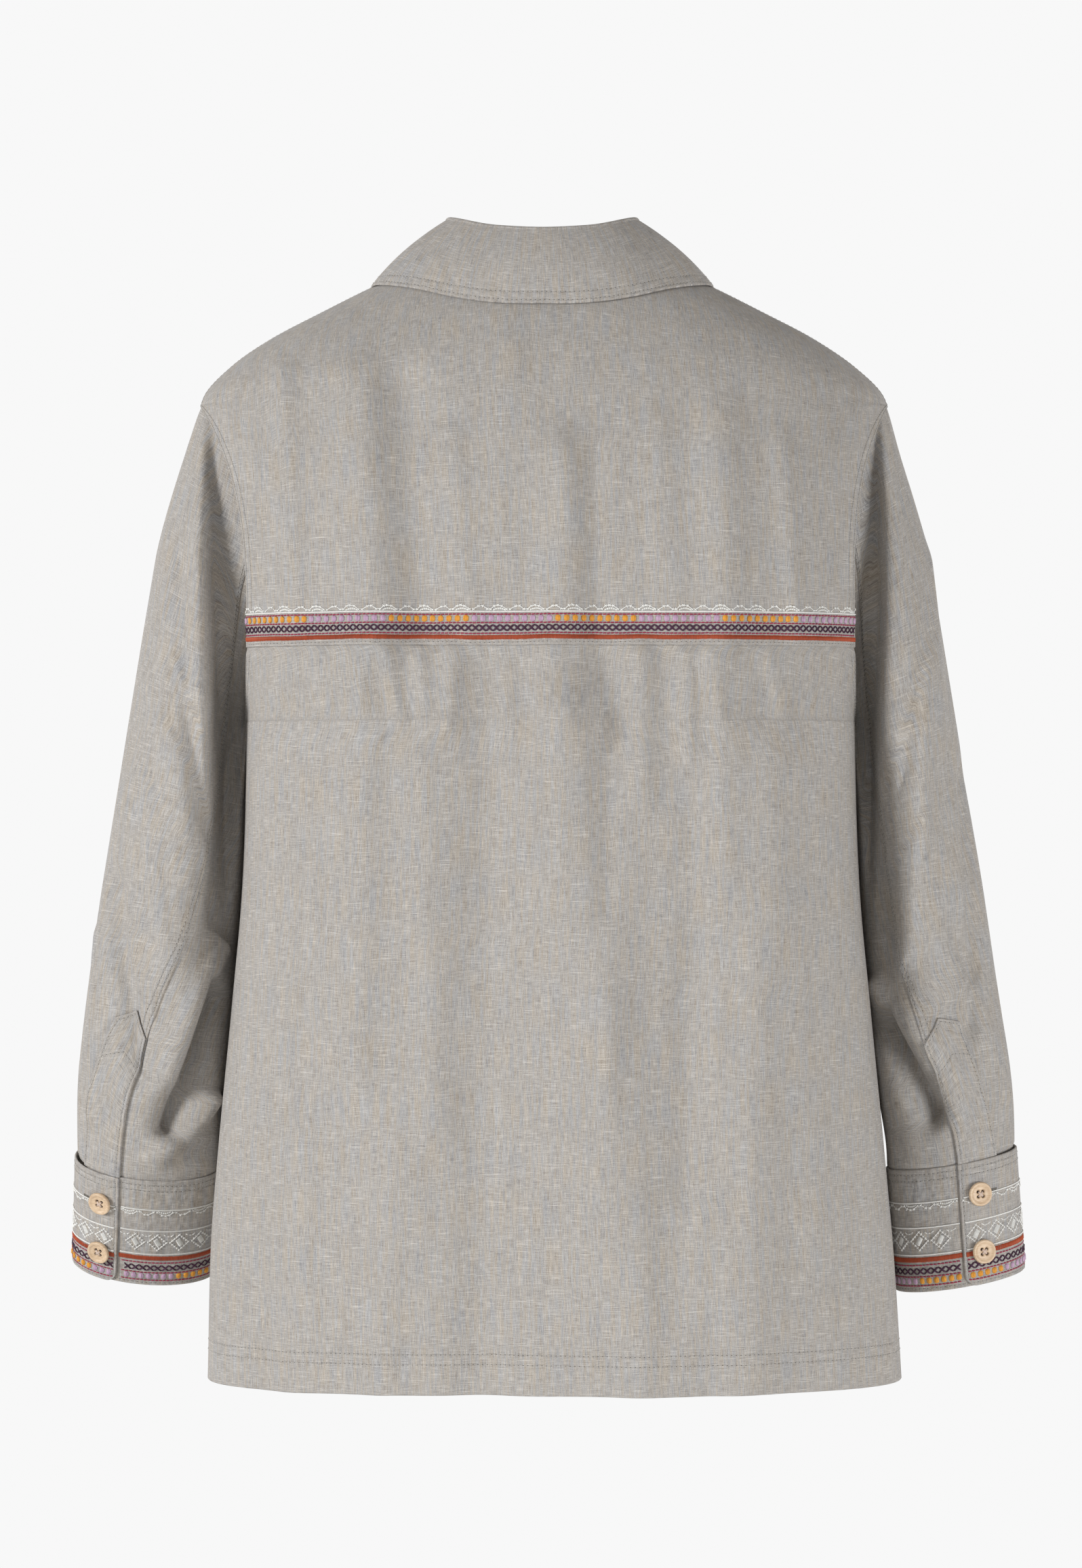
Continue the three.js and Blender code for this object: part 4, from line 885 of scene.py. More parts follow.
def cuff_turns(sleeve, step):
    """Turns round a cuff at even steps of length, and a function from length to turn."""
    low, high = sleeve.lap_edge - CUFF_LAP, 360 + sleeve.lap_edge
    turn = np.linspace(low, high, 1500)
    steps = np.linalg.norm(np.diff(sleeve.cuff(turn, 0 * turn), axis=0), axis=-1)
    far = np.concatenate([[0], np.cumsum(steps)])
    return np.interp(np.linspace(0, far[-1], round(far[-1] / step) + 1), far, turn), far, turn


def sleeve_rise(u, v):
    """The sleeve goes in under the edge of the body at the armhole, and under the cuff."""
    return -0.35 * (1 - smooth(v, 0, 0.012)) - 0.9 * smooth(v, SLEEVE_END - 0.007, SLEEVE_END - 0.001)


GRAIN_LOW, GRAIN_HIGH = 0.12, 0.55


def sleeve_map(panel, column):
    """A cloth map of a piece of a sleeve: level lengths from one column, and heights. The weft
    runs down toward the body, steeply near the armhole and a little near the cuff."""
    level = np.linalg.norm(np.diff(panel.points[..., :2], axis=1), axis=-1)
    across = np.concatenate([0 * level[:, :1], np.cumsum(level, axis=1)], axis=1)
    x, z = np.abs(panel.points[..., 0]), panel.points[..., 2]
    slope = mix(GRAIN_LOW, GRAIN_HIGH, smooth(z, -440, -180))
    return np.stack([across - across[:, [column]], -z - slope * (outer_at(z) - x)], -1)


PIECE_WIDTH, SLEEVE_EDGE = 130, 0.003    # a mean width of a sleeve piece, for the gap at its seams
PLACKET_WIDTH, PLACKET_LENGTH, PLACKET_LIFT = 25, 120, 1.6
PLACKET_PEAK, PLACKET_SHOULDER = 0.756, 0.783
CUFF_LIFT = 0.5
made_sleeves = {}
ways = edged(np.linspace(0, SLEEVE_END, 150), 0.0009)
for name, sleeve in sleeves.items():
    facing = -sleeve.side
    trim = SEAM_GAP / 2 / PIECE_WIDTH
    top = Panel(sleeve.piece(FRONT_SEAM - 360, sleeve.hole_seam,
                             lambda way: FRONT_SEAM - 360 + 0 * way, sleeve.seam_at),
                edged(np.linspace(trim, 1 - trim, 62), SLEEVE_EDGE), ways, facing,
                raised=lambda u, v: sleeve_rise(u, v) + 0.45 * smooth(u, 0.955, 0.965))
    under = Panel(sleeve.piece(sleeve.hole_seam, FRONT_SEAM,
                               sleeve.seam_at, lambda way: FRONT_SEAM + 0 * way),
                  edged(np.linspace(-0.006, 1 - trim, 40), SLEEVE_EDGE), ways, facing,
                  raised=lambda u, v: sleeve_rise(u, v) - 0.5 * (1 - smooth(u, 0, 0.03)))
    across = top.lengths()[0]
    width = across[:, -1]
    top_cloth = sew(f"top_sleeve_cloth_{name}", top, [f"top_sleeve_{name}"], LINEN,
                    fields={"seam": onto_rows(width[:, None] - across, SLEEVE_ROWS)},
                    uv=sleeve_map(top, len(top.us) // 2) + [2900 + 300 * sleeve.side, 0])
    under_cloth = sew(f"under_sleeve_cloth_{name}", under, [f"under_sleeve_{name}"], LINEN,
                      uv=sleeve_map(under, 0) + [3600 + 300 * sleeve.side, 40])

    def tower(p, q, top=top, width=width):
        """The placket: a strip beside the back seam of the sleeve, with a pointed top."""
        peak = mix(PLACKET_PEAK, PLACKET_SHOULDER, np.abs(p))
        v = mix(peak, SLEEVE_END, q)
        wide = np.interp(v, top.vs, width)
        u = top.us[-1] - (1 - p) / 2 * PLACKET_WIDTH / wide * (top.us[-1] - top.us[0])
        return top.at(u, v)[0]

    strip = Panel(tower, edged(np.linspace(-1, 1, 17), 0.03), edged(np.linspace(0, 1, 50), 0.003), facing,
                  lift=PLACKET_LIFT)
    strip_flat = np.stack([strip.u * PLACKET_WIDTH / 2, strip.v * PLACKET_LENGTH], -1)
    edge = np.minimum(PLACKET_WIDTH / 2 - np.abs(strip_flat[..., 0]), strip_flat[..., 1] * 0.9)
    strip_cloth = sew(f"placket_cloth_{name}", strip, [f"sleeve_placket_{name}"], LINEN,
                      fields={"seam": np.minimum(edge, ONE_ROW)},
                      uv=strip_flat + [4300 + 100 * sleeve.side, 0])
    turns, far, turn = cuff_turns(sleeve, 2.2)
    cuff = Panel(sleeve.cuff, edged(turns, 0.5), edged(np.linspace(0, 1, 29), 0.005), facing, lift=CUFF_LIFT)
    along, below = np.interp(cuff.u, turn, far), cuff.v * CUFF_HEIGHT
    free = np.minimum(far[-1] - along, CUFF_HEIGHT - below)
    cuff_cloth = sew(f"cuff_cloth_{name}", cuff, [f"cuff_{name}"], LINEN, thick=CUFF_THICK,
                     fields={"seam": np.minimum(free, ONE_ROW), "hem": onto_rows(below, CUFF_ROWS)},
                     uv=np.stack([along, below], -1) + [4800 + 300 * sleeve.side, 0])
    made_sleeves[name] = dict(sleeve=sleeve, top=top, strip=strip, cuff=cuff, far=far, turn=turn,
                              width=width, cloths=(top_cloth, under_cloth, strip_cloth, cuff_cloth))

# Collar

STAND_TOP, COLLAR_ROLL, LEAF_LIFT, LEAF_BULGE, LEAF_TURN = 4, 1.7, 1.9, 6, 0.2
STAND_INSET, STAND_RISE, NECK_END = 0.7, 0.8, 0.98
ROLL = table("share x y z", (-0.2, -29, 44, 20.5), (0, 0, 50, 18.5), (0.2, 29, 44, 20.5),
             (0.4, 54, 22, 27.5), (0.5, 59.5, 2, 30), (0.65, 55, -25, 18), (0.85, 33, -53, -20),
             (1, 8, -65, -47))
roll_at = {axis: reading(ROLL, "share", axis) for axis in "xyz"}
LEAF_EDGE = table("share row round", (0, 0.17, 1), (0.18, 0.185, 0.74), (0.28, 0.18, 0.6),
                  (0.4, 0.165, 0.37), (0.52, 0.17, 0), (0.62, 0.25, -0.25), (0.72, 0.46, -0.43),
                  (0.81, 0.74, -0.56), (0.86, 0.94, -0.617), (0.91, 1.13, -0.65), (1, 1.278, -0.665))
leaf_row, leaf_round = reading(LEAF_EDGE, "share", "row"), reading(LEAF_EDGE, "share", "round")


def round_body(side, row, way):
    """A point of the body by the way from the shoulder seam (0) to the centre line of the back (1)
    or of the front (-1)."""
    across = side * (1 - np.abs(way))
    return np.where((way >= 0)[..., None], body(across, row, BACK), body(across, row, FRONT))


def roll_point(side, part):
    """A point of the collar's top fold, from the middle of the back (0) to its end in front (1)."""
    return points(side * roll_at["x"](part), roll_at["y"](part), roll_at["z"](part))


def roll_out(side, part):
    """The level direction out of the top fold of the collar."""
    step = roll_point(side, np.minimum(part + 0.01, 1)) - roll_point(side, np.maximum(part - 0.01, 0))
    return unit(points(-step[..., 1], step[..., 0], 0) * side[..., None])


def stand_surface(across, up):
    """The stand: straight lines from the neck edge up to just under the fold of the collar."""
    side, part = np.where(across < 0, -1, 1), np.abs(across)
    low = round_body(side, 0 * part, 1 - part * (1 + NECK_END))
    inward = unit(points(-low[..., 0], -low[..., 1], 0))
    start = low + inward * STAND_INSET + [0, 0, STAND_RISE]
    return mix(start, roll_point(side, part) - [0, 0, STAND_TOP], up[..., None])


def leaf_surface(across, fall):
    """The leaf: a half circle over the top fold, then a curved fall to its edge on the body."""
    side, part = np.where(across < 0, -1, 1), np.abs(across)
    out, rise = roll_out(side, part), np.array([0, 0, 1])
    hub = roll_point(side, part) + out * COLLAR_ROLL - rise * COLLAR_ROLL
    angle = (np.pi * (1 - np.minimum(fall / LEAF_TURN, 1)))[..., None]
    turned = hub + (out * np.cos(angle) + rise * np.sin(angle)) * COLLAR_ROLL
    way, row, step = leaf_round(part), leaf_row(part), 1e-3
    inner = np.abs(way)
    sign = np.where(way >= 0, 1, -1)
    slope_u = (round_body(side, row, sign * np.minimum(inner + step, 1))
               - round_body(side, row, sign * np.maximum(inner - step, 0)))
    slope_v = round_body(side, row + step, way) - round_body(side, row, way)
    normal = unit(np.cross(slope_u, slope_v)) * (-side * sign)[..., None]
    end = round_body(side, row, way) + normal * LEAF_LIFT
    start = hub + out * COLLAR_ROLL
    middle = (start + end) / 2 + out * LEAF_BULGE + rise * LEAF_BULGE / 2
    t = np.clip((fall - LEAF_TURN) / (1 - LEAF_TURN), 0, 1)[..., None]
    fallen = start * (1 - t) ** 2 + middle * 2 * t * (1 - t) + end * t**2
    return np.where((fall <= LEAF_TURN)[..., None], turned, fallen)


collar_columns = edged(np.linspace(-1, 1, 161), 0.0015)
stand = Panel(stand_surface, collar_columns, edged(np.linspace(0, 1, 11), 0.01), -1)
leaf_rows = np.concatenate([np.linspace(0, LEAF_TURN, 9)[:-1], edged(np.linspace(LEAF_TURN, 1, 26), 0.006)])
leaf = Panel(leaf_surface, collar_columns, np.unique(leaf_rows), 1)
stand_cloth = sew("collar_stand_cloth", stand, ["collar_stand"], LINEN, thick=STAND_THICK)
leaf_down = leaf.lengths()[1]
leaf_left = leaf_down[-1] - leaf_down
leaf_cloth = sew("collar_leaf_cloth", leaf, ["collar_leaf"], LINEN, thick=FOLDED,
                 uv=np.stack([leaf.u * 250, leaf_down], -1) + [5600, 0],
                 fields={"hem": onto_rows(leaf_left, LEAF_ROWS)})


# Buttons

BUTTON_RADIUS, BUTTON_SEAT = 8, 1.2
HOLE_OUT, HOLE_RADIUS = 1.6, 1.05
HOLES = np.array([[1, 1], [1, -1], [-1, 1], [-1, -1]]) * HOLE_OUT
HOLE_DEEP, TWINE_UP, TWINE_WIDTH = 1.5, 1.9, 0.46
FRONT_BUTTON_HEIGHTS = np.linspace(-100, -640, 7)
CUFF_BUTTONS_DOWN, CUFF_BUTTON_INSET = (21, 59), 12
RIM = table("share height", (0, 2.0), (0.45, 2.05), (0.66, 2.2), (0.8, 2.85), (0.9, 2.95), (0.97, 2.6),
            (1, 1.5))
rim_at = reading(RIM, "share", "height")


def disc(n):
    """A disc of even cells: a square grid pulled out to a circle."""
    a, b = np.meshgrid(np.linspace(-1, 1, n), np.linspace(-1, 1, n))
    return points(a * np.sqrt(1 - b**2 / 2), b * np.sqrt(1 - a**2 / 2), 0 * a)


def button(name, at, normal, up):
    """A turned button: a dished face with four holes inside a raised rim, a rounded side and a
    flat back. Its cross of twine is a piece of its own."""
    flat = disc(33)
    radius = np.minimum(np.hypot(flat[..., 0], flat[..., 1]), 1)
    away = np.min(np.linalg.norm(flat[..., None, :2] * BUTTON_RADIUS - HOLES, axis=-1), axis=-1)
    deep = 1 - smooth(away, HOLE_RADIUS * 0.62, HOLE_RADIUS * 1.2)
    top = rim_at(radius) - HOLE_DEEP * deep
    right = unit(np.cross(up, normal))
    upright = np.cross(normal, right)

    def placed(x, y, z):
        """Points by how far they are right, up and out from the back of the button."""
        return at + (x[..., None] * right + y[..., None] * upright + z[..., None] * normal)

    face = placed(flat[..., 0] * BUTTON_RADIUS, flat[..., 1] * BUTTON_RADIUS, top)
    back = placed(flat[..., 0] * BUTTON_RADIUS * 0.9, flat[..., 1] * BUTTON_RADIUS * 0.9, 0 * top)
    n = flat.shape[0]
    _, quads, ring = grid_faces(n, n)
    a, b = ring, np.roll(ring, -1)
    sides = np.stack([a, n * n + a, n * n + b, b], -1)
    faces = np.concatenate([quads, n * n + quads[:, ::-1], sides])
    all_points = np.concatenate([face.reshape(-1, 3), back.reshape(-1, 3)])
    # The hole field marks where the wood paints dark painted shade in the four holes.
    made = new_mesh(f"{name}_wood", all_points, faces, WOOD,
                    fields={"hole": np.concatenate([deep.ravel(), 0 * deep.ravel()])})
    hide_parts(name)

    def on_face(x, y):
        """A place on the face, at the height of the twine."""
        return placed(x, y, 0 * x + TWINE_UP), np.broadcast_to(normal, x.shape + (3,))

    twine = Threads(on_face)
    for shift in (-0.26, 0, 0.26):
        low, high = shift - HOLE_OUT, shift + HOLE_OUT
        twine.add([[low, -high]], [[high, -low]], TWINE_WIDTH, 0.8, TWINE)
        twine.add([[low, high]], [[high, low]], TWINE_WIDTH, 0.95, TWINE)
    twine.mesh(f"{name}_twine", FLOSS)


UP = np.array([0, 0, 1.0])
for i, z in enumerate(FRONT_BUTTON_HEIGHTS):
    at, normal = band.at(0.0, float(row_at(z)), BUTTON_SEAT)
    button(f"front_button_{i + 1}", at, normal, UP)
for name, made in made_sleeves.items():
    sleeve, cuff = made["sleeve"], made["cuff"]
    turn = 360 + sleeve.lap_edge - np.degrees(CUFF_BUTTON_INSET / sleeve.cuff_half)
    for i, below in enumerate(CUFF_BUTTONS_DOWN):
        at, normal = cuff.at(turn, below / CUFF_HEIGHT, BUTTON_SEAT)
        button(f"cuff_button_{name}_{i + 1}", at, normal, unit(-sleeve.down))

# Embroidery. Its ground is a strip of cloth: x runs along it and h across it, in millimetres.

chance = np.random.default_rng(11)


def shades_of(dye, count, spread=0.1):
    """The dye of each of many threads, some a little lighter and some darker."""
    return np.array(dye) * (1 + spread * (chance.random((count, 1)) * 2 - 1))


def satin(threads, low, high, base, top, dye):
    """A band of upright threads side by side, with ragged ends."""
    x = np.arange(low, high, 0.42)
    ends = [base - 0.3 * chance.random(len(x)), top + 0.3 * chance.random(len(x))]
    lean = 0.15 * (chance.random(len(x)) - 0.5)
    threads.add(np.stack([x, ends[0]], -1), np.stack([x + lean, ends[1]], -1), 0.5, 0.55,
                shades_of(dye, len(x), 0.14))


def blocks(threads, low, high, base, top, pitch, groups):
    """Plump little blocks of five threads each, in groups of one dye and then of the other: each
    group is its number of blocks and its dye."""
    centres = np.arange(low + pitch / 2, high - 1, pitch)
    dyes = np.concatenate([np.tile(dye, (count, 1)) for count, dye in groups])[:len(centres)]
    centres = centres[:len(dyes)]
    middle, half = (base + top) / 2, (top - base) / 2
    for offset, share, rise in ((-1.2, 0.74, 0.55), (-0.62, 0.95, 0.9), (0, 1, 1.1), (0.62, 0.95, 0.9),
                                (1.2, 0.74, 0.55)):
        jitter = 0.25 * (chance.random(len(centres)) - 0.5)
        x = centres + offset + 0.1 * (chance.random(len(centres)) - 0.5)
        threads.add(np.stack([x - 0.08, middle - half * share + jitter], -1),
                    np.stack([x + 0.08, middle + half * share + jitter], -1),
                    0.92, rise, dyes * (1 + 0.1 * (chance.random((len(centres), 1)) - 0.5)))


def lozenges(threads, low, high, base, top, pitch):
    """Two zigzags that cross half way up, so that a row of lozenges stands between them."""
    count = int((high - low) / pitch)
    for first in (0, 1):
        k = np.arange(count)
        rising = (k + first) % 2 == 0
        x = low + pitch * k
        y0, y1 = np.where(rising, base, top), np.where(rising, top, base)
        wobble = 0.12 * (chance.random((count, 2)) - 0.5)
        threads.add(np.stack([x, y0 + wobble[:, 0]], -1), np.stack([x + pitch, y1 + wobble[:, 1]], -1),
                    1.15, 0.7 + 0.15 * first, shades_of(PURPLE, count, 0.2))


def line(threads, low, high, h, dye, width=0.92, length=2.35, step=2.5):
    """A line of running stitches that touch end to end, hardly slanted."""
    x = np.arange(low, high - length, step)
    lift = 0.12 * (chance.random(len(x)) - 0.5)
    threads.add(np.stack([x, h + lift - 0.08], -1), np.stack([x + length, h + lift + 0.08], -1),
                width, 0.45, shades_of(dye, len(x), 0.12))


def cord(threads, low, high, h, length=1.7, step=0.95, slant=0.2):
    """A thick white line of short slanted stitches that overlap, like a twisted cord."""
    x = np.arange(low, high - length, step)
    threads.add(np.stack([x, 0 * x + h - slant], -1), np.stack([x + length, 0 * x + h + slant], -1),
                1.2, 0.8, shades_of(WHITE, len(x), 0.04))


def crosses(threads, x, h, size=1.15):
    """Small crosses of two short stitches each, none of them quite upright."""
    turn = np.pi / 4 + 0.5 * (chance.random(len(x)) - 0.5)
    for more in (0, np.pi / 2):
        dx, dh = size * np.cos(turn + more), size * np.sin(turn + more)
        threads.add(np.stack([x - dx, h - dh], -1), np.stack([x + dx, h + dh], -1), 0.75, 0.6 + 0.1 * more,
                    shades_of(WHITE, len(x), 0.05))


# One repeat of the scallops: a low and a high arch, by the way along and the height
ARCH_X = np.array([0, 3.4, 6.1, 8.8, 11.2, 13.4, 15.8, 18.4, 21.4])
ARCH_H = np.array([0.5, 2.5, 2.7, 0.7, 0.7, 2.7, 3.2, 2.7, 0.6])
ARCH_PERIOD = 23.5

# The solid block in a lozenge: half its slanted height, half a thread of it, and their number
SOLID_DOWN, SOLID_ACROSS, SOLID_THREADS = np.array([1.25, -2.2]), np.array([1.5, 1.1]), 12


def scallops(threads, low, high, base):
    """A row of arches set with crosses, every other one filled at its foot with a dense crescent."""
    for start in np.arange(low, high, ARCH_PERIOD):
        x = start + ARCH_X + 0.3 * (chance.random(len(ARCH_X)) - 0.5)
        h = base + (ARCH_H + 0.25 * (chance.random(len(ARCH_X)) - 0.5))
        keep = x < high - 1
        crosses(threads, x[keep], h[keep])
        if keep.sum() > 1:
            threads.chain(x[keep], h[keep], 0.72, 0.55, WHITE)
        foot = start + np.linspace(12.6, 20.6, 7)
        if foot[-1] < high:
            for rise in (0.1, 0.42, 0.74):
                bow = np.sin(np.linspace(0, np.pi, 7)) * 1.1
                threads.chain(foot, base - 0.35 + (rise + bow), 0.5, 0.45, WHITE)


def lattice(threads, low, high, base, top, period):
    """A row of open lozenges outlined in crosses, each with a slanted solid block in the middle,
    and small wedges between their feet."""
    middle, tall = (base + top) / 2, (top - base) / 2 - 0.8
    wide = period * 0.42
    for centre in np.arange(low + period / 2, high - wide, period):
        share = np.linspace(0, 1, 4, endpoint=False)
        corners = np.array([[0, tall], [wide, 0], [0, -tall], [-wide, 0], [0, tall]])
        edge = np.concatenate([mix(corners[k], corners[k + 1], share[:, None]) for k in range(4)])
        crosses(threads, centre + edge[:, 0], middle + edge[:, 1], 1.05)
        loop = np.concatenate([edge, edge[:1]])
        threads.chain(centre + loop[:, 0], middle + loop[:, 1], 0.72, 0.55, WHITE)
        solid = np.array([centre, middle]) + SOLID_DOWN * np.linspace(-1, 1, SOLID_THREADS)[:, None]
        threads.add(solid - SOLID_ACROSS, solid + SOLID_ACROSS, 0.6, 0.7,
                    shades_of(WHITE, SOLID_THREADS, 0.05))
        foot = centre + period / 2 + np.array([-3.4, -1.2, 0.9, 3.2])
        if foot[-1] < high:
            for rise in (0, 0.4):
                threads.chain(foot, base + 0.5 + rise + np.array([0, 1.5, 1.2, 0.1]), 0.5, 0.45, WHITE)


def coloured_band(threads, low, high, chart, start, groups):
    """Rust satin, a row of lozenges and a row of blocks, with a line of stitches beside each."""
    satin(threads, low, high, *chart["satin"], ORANGE)
    line(threads, low, high, chart["lines"][0], MAGENTA)
    lozenges(threads, low, high, *chart["lozenges"])
    line(threads, low, high, chart["lines"][1], MAGENTA)
    blocks(threads, start, high, *chart["blocks"], groups)
    line(threads, low, high, chart["lines"][2], MAGENTA)


def white_rows(threads, low, high, chart, inset=0):
    """White cords, and a row of scallops that starts further in by the inset."""
    for h in chart["cords"]:
        cord(threads, low, high, h)
    scallops(threads, low + inset, high, chart["scallops"])


# Where each row of a band lies, and after the two heights of a repeated motif its pitch
YOKE_PITCH = 5.3
YOKE_CHART = {"satin": (3.3, 6.0), "lines": (7.1, 13.7, 19.1), "lozenges": (8.4, 12.7, 4.45),
              "blocks": (14.3, 18.7, YOKE_PITCH), "cords": (20.8,), "scallops": 21.6}
CUFF_CHART = {"satin": (57.6, 60.8), "lines": (62.7, 70.4, 76.3), "lozenges": (64.6, 69.0, 4.9),
              "blocks": (71.0, 75.4, 4.9), "cords": (21.5, 38, 56), "scallops": 22.6,
              "lattice": (40, 53.4, 14.4)}
GROUP = 10
yoke_reach = float(half_length(YOKE_ROW, BACK))


def yoke_ground(x, h):
    """The strip above the lower edge of the yoke: x from the wearer's left end, h upwards."""
    v = row_at(YOKE_Z + SEAM_GAP / 2 + h)
    u = (yoke_reach - x) / half_length(v, BACK)
    return yoke.at(u, v, CLOTH / 2)


trim_work = Threads(yoke_ground)
low, high = 2.0, 2 * yoke_reach - 2.0
first_group = yoke_reach + 2 - 4 * GROUP * YOKE_PITCH
early = int(first_group / YOKE_PITCH)
coloured_band(trim_work, low, high, YOKE_CHART, first_group - early * YOKE_PITCH,
              [(early, LILAC)] + [(GROUP, YELLOW), (GROUP, LILAC)] * 5)
trim_work.mesh("yoke_embroidery", FLOSS)
lace = Threads(yoke_ground)
white_rows(lace, low, high, YOKE_CHART, 1)
lace.mesh("yoke_lace_stitches", FLOSS, sides=3)

CUFF_GROUPS = {"left": [(3, LILAC), (12, YELLOW), (13, LILAC), (12, YELLOW), (14, LILAC)],
               "right": [(5, YELLOW), (11, LILAC), (13, YELLOW), (13, LILAC), (12, YELLOW)]}


def cuff_ground(made):
    """The cuff as a strip: x from its free edge, h down from its top."""
    far, turn = made["far"], made["turn"]
    return lambda x, h: made["cuff"].at(np.interp(far[-1] - x, far, turn), h / CUFF_HEIGHT, CUFF_THICK / 2)


for name, made in made_sleeves.items():
    far, turn = made["far"], made["turn"]
    low, high = 1.4, far[-1] - np.interp(CUFF_LAP + turn[0], turn, far) - 1
    work = Threads(cuff_ground(made))
    coloured_band(work, low, high, CUFF_CHART, low + 0.8, CUFF_GROUPS[name])
    work.mesh(f"cuff_embroidery_{name}", FLOSS)
    pale = Threads(cuff_ground(made))
    white_rows(pale, low, high, CUFF_CHART)
    lattice(pale, low, high, *CUFF_CHART["lattice"])
    pale.mesh(f"cuff_lace_stitches_{name}", FLOSS, sides=3)


# Buttonholes

CUFF_SLIT, FRONT_SLIT = (9, 25), (-4, 11.5)     # from the cuff's free edge, and from a front button


def buttonhole(threads, low, high, h):
    """A worked slit: a dark line between two rows of short upright threads, barred at its ends. The dark
    line is painted shade in the slit.
    """
    x = np.arange(low, high + 0.1, 0.5)
    # The dark line along the slit: painted shade.
    threads.chain(x[::4], 0 * x[::4] + h, 0.8, 0.15, PAINTED_HOLE_SHADE)
    for side in (-1, 1):
        threads.add(np.stack([x, 0 * x + h + side * 0.3], -1), np.stack([x, 0 * x + h + side * 1.5], -1),
                    0.5, 0.4, BUTTONHOLE)
    for end in (low, high):
        threads.add([[end, h - 1.5]], [[end, h + 1.5]], 0.9, 0.5, BUTTONHOLE)


for name, made in made_sleeves.items():
    slits = Threads(cuff_ground(made))
    for below in CUFF_BUTTONS_DOWN:
        buttonhole(slits, *CUFF_SLIT, below)
    slits.mesh(f"cuff_buttonholes_{name}", FLOSS, sides=3)
slits = Threads(lambda z, x: band.at(x, row_at(z), FOLDED / 2))
for z in FRONT_BUTTON_HEIGHTS:
    buttonhole(slits, z + FRONT_SLIT[0], z + FRONT_SLIT[1], 0)
slits.mesh("front_buttonholes", FLOSS, sides=3)

# Sewing

EDGE_ROW = 1.7                          # the row along the lower edges of the yoke and the cuffs
SLEEVE_THREADS = (1.5, 5.1)             # from the edge of the top sleeve
PLACKET_ROWS = (0.02, 0.26)             # across the placket, by the way down it


def seam_threads(name, panel, lines, thick=CLOTH):
    """Rows of running stitches on a piece of cloth, each along a line of its columns and rows."""
    threads = Threads(lambda u, v: panel.at(u, v, thick / 2))
    for u, v in lines:
        threads.along(u, v, SEWING)
    threads.mesh(name, FLOSS, sides=3)


def hem_row(distance):
    """The row of the body at a distance above the hem."""
    return 3 - distance / (UNDERARM_Z - HEM_Z)


across = np.linspace(-0.996, 0.996, 600)
rows_of = {"yoke": np.linspace(0.01, YOKE_ROW - 0.02, 300), "back": np.linspace(YOKE_ROW + 0.02, 2, 100),
           "front": np.linspace(0.02, 2, 400)}
yoke_lines = [(side * (1 - d / half_length(rows_of["yoke"], BACK)), rows_of["yoke"])
              for side in (-1, 1) for d in (NEAR_ROW, FAR_ROW)]
yoke_lines.append((across, row_at(YOKE_Z + EDGE_ROW)))
seam_threads("yoke_sewing", yoke, yoke_lines)
back_lines = [(side * (1 - d / half_length(rows_of["back"], BACK)), rows_of["back"])
              for side in (-1, 1) for d in (NEAR_ROW, FAR_ROW)]
back_lines += [(across, hem_row(d)) for d in HEM_ROWS]
seam_threads("back_sewing", back, back_lines)
for name, (panel, _) in fronts.items():
    share = np.linspace(0.004, 0.996, 300)
    lines = [(d / half_length(rows_of["front"], FRONT), rows_of["front"]) for d in (NEAR_ROW, FAR_ROW)]
    lines += [(share, hem_row(d)) for d in HEM_ROWS]
    seam_threads(f"front_sewing_{name}", panel, lines)
down = np.linspace(0.02, 2.99, 900)
seam_threads("front_band_sewing", band,
             [(side * (BAND_WIDTH / 2 - NEAR_ROW), down) for side in (-1, 1)], FOLDED)

columns = leaf.us[2:-2]
leaf_lines = []
for distance in LEAF_ROWS:
    rows = np.array([np.interp(distance, left, leaf.vs[::-1]) for left in leaf_left[::-1, 2:-2].T])
    leaf_lines.append((columns, rows))
leaf_lines += [(side * 0.992, np.linspace(0.25, 0.97, 80)) for side in (-1, 1)]
seam_threads("collar_sewing", leaf, leaf_lines, FOLDED)

for name, made in made_sleeves.items():
    top, width, strip, cuff = made["top"], made["width"], made["strip"], made["cuff"]
    way = np.linspace(0.004, 0.995, 500)
    span = top.us[-1] - top.us[0]
    lines = [(top.us[-1] - d / np.interp(way, top.vs, width) * span, way) for d in SLEEVE_THREADS]
    seam_threads(f"sleeve_sewing_{name}", top, lines)
    q = np.linspace(0.02, 0.99, 200)
    inset = NEAR_ROW / (PLACKET_WIDTH / 2)
    p = np.linspace(-1 + inset, 1 - inset, 40)
    seam_threads(f"placket_sewing_{name}", strip,
                 [(1 - inset, q), (-1 + inset, q)] + [(p, row) for row in PLACKET_ROWS])
    far, turn = made["far"], made["turn"]
    at = np.interp(np.linspace(NEAR_ROW, far[-1] - NEAR_ROW, 500), far, turn)
    seam_threads(f"cuff_sewing_{name}", cuff,
                 [(at, d / CUFF_HEIGHT) for d in (*CUFF_ROWS, CUFF_HEIGHT - EDGE_ROW)]
                 + [(at[-1], np.linspace(0.03, 0.97, 60))], CUFF_THICK)

# The cloths of each sleeve, read back out of its record

for made in made_sleeves.values():
    top_cloth, under_cloth, strip_cloth, cuff_cloth = made["cloths"]

# Studio: the camera faces the back of the jacket

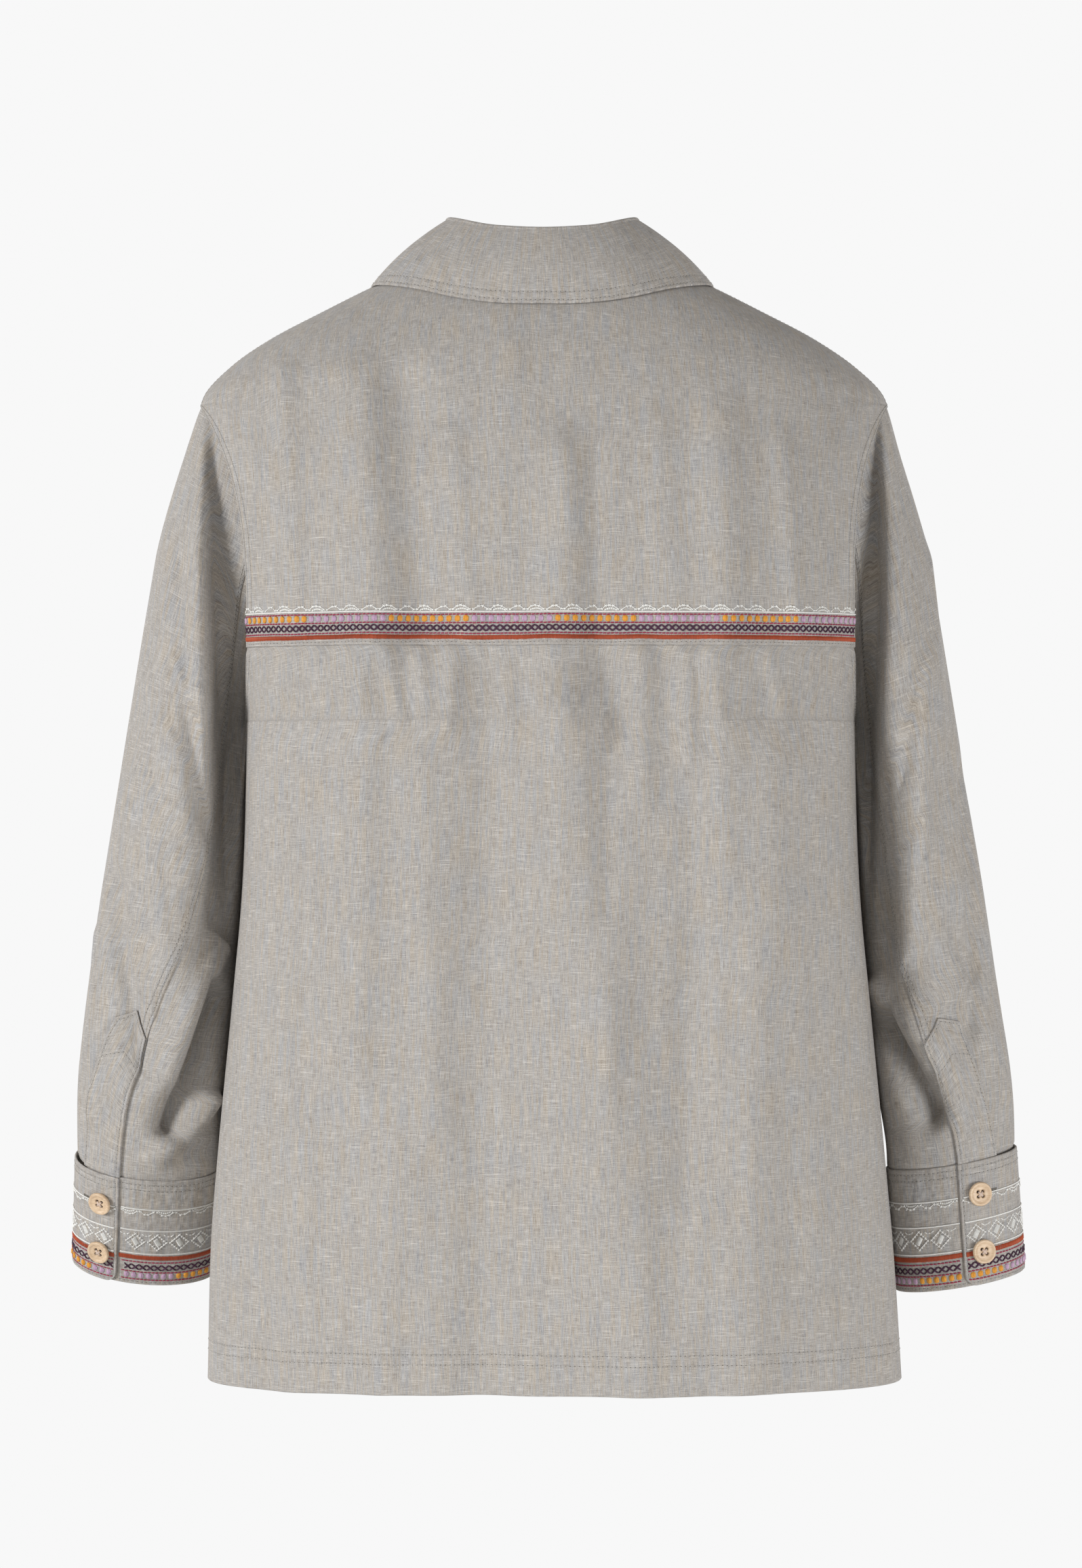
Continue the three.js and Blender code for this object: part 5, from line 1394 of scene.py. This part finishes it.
PHOTO_HIGH, PHOTO_SCALE = 2313, 2.25     # the picture's height in pixels, and pixels a millimetre
CAMERA_PLACE = (0.9, 3200, -340.2)
SENSOR = 36
camera_data = bpy.data.cameras.new("camera")
camera_data.sensor_fit = "VERTICAL"
camera_data.sensor_height = SENSOR
camera_data.lens = SENSOR * CAMERA_PLACE[1] / (PHOTO_HIGH / PHOTO_SCALE)
camera = bpy.data.objects.new("camera", camera_data)
camera.location = [c * MM for c in CAMERA_PLACE]
camera.rotation_euler = (np.pi / 2, 0, np.pi)
bpy.context.scene.collection.objects.link(camera)
bpy.context.scene.camera = camera


def lamp(name, power, size, at, aim):
    """A square soft light that faces a point."""
    data = bpy.data.lights.new(name, "AREA")
    data.energy, data.size = power, size
    made = bpy.data.objects.new(name, data)
    ahead = unit(np.array(aim, float) - np.array(at, float))
    side = unit(np.cross(ahead, [0, 0, 1]))
    top = np.cross(side, ahead)
    matrix = np.eye(4)
    matrix[:3, 0], matrix[:3, 1], matrix[:3, 2], matrix[:3, 3] = side, top, -ahead, at
    made.matrix_world = matrix.T.tolist()
    bpy.context.scene.collection.objects.link(made)


lamp("key", 80, 0.9, (2.8, 1.8, 0.1), (0, 0, -0.35))
lamp("fill", 54, 1.2, (-2.4, 2.1, -1.2), (0, 0, -0.5))
lamp("front_left", 26, 0.9, (1.5, -3.0, 0.3), (0, 0, -0.35))
lamp("front_right", 22, 0.9, (-1.5, -3.0, 0.1), (0, 0, -0.35))

world = bpy.data.worlds.new("studio")
studio = Finish(world)
paper_white = studio.node("ShaderNodeBackground", None, {"Color": (0.938, 0.938, 0.938, 1)})[0]
room = studio.node("ShaderNodeBackground", None, {"Color": (1.0, 0.965, 0.925, 1), "Strength": 0.37})[0]
seen = studio.node("ShaderNodeLightPath")["Is Camera Ray"]
studio.node("ShaderNodeOutputWorld", None,
            {"Surface": studio.node("ShaderNodeMixShader", None, {0: seen, 1: room, 2: paper_white})[0]})
bpy.context.scene.world = world
bpy.context.scene.view_settings.view_transform = "Standard"

paper = Finish(bpy.data.materials.new("paper"))
floor_white = paper.end({"Base Color": shade(244, 244, 243), "Roughness": 0.9})


def disc_floor(radius, z, sides=64):
    """A level round floor: a ring of points round its middle."""
    turn = np.linspace(0, 2 * np.pi, sides, endpoint=False)
    rim = points(radius * np.cos(turn), radius * np.sin(turn), z)
    hub = np.array([[0, 0, z]])
    index = np.arange(sides)
    faces = np.stack([0 * index + sides, index, (index + 1) % sides], -1)
    mesh = bpy.data.meshes.new("floor")
    mesh.from_pydata((np.concatenate([rim, hub]) * MM).tolist(), [], faces.tolist())
    mesh.materials.append(floor_white)
    made = bpy.data.objects.new("floor", mesh)
    bpy.context.scene.collection.objects.link(made)


disc_floor(1200, -1200)
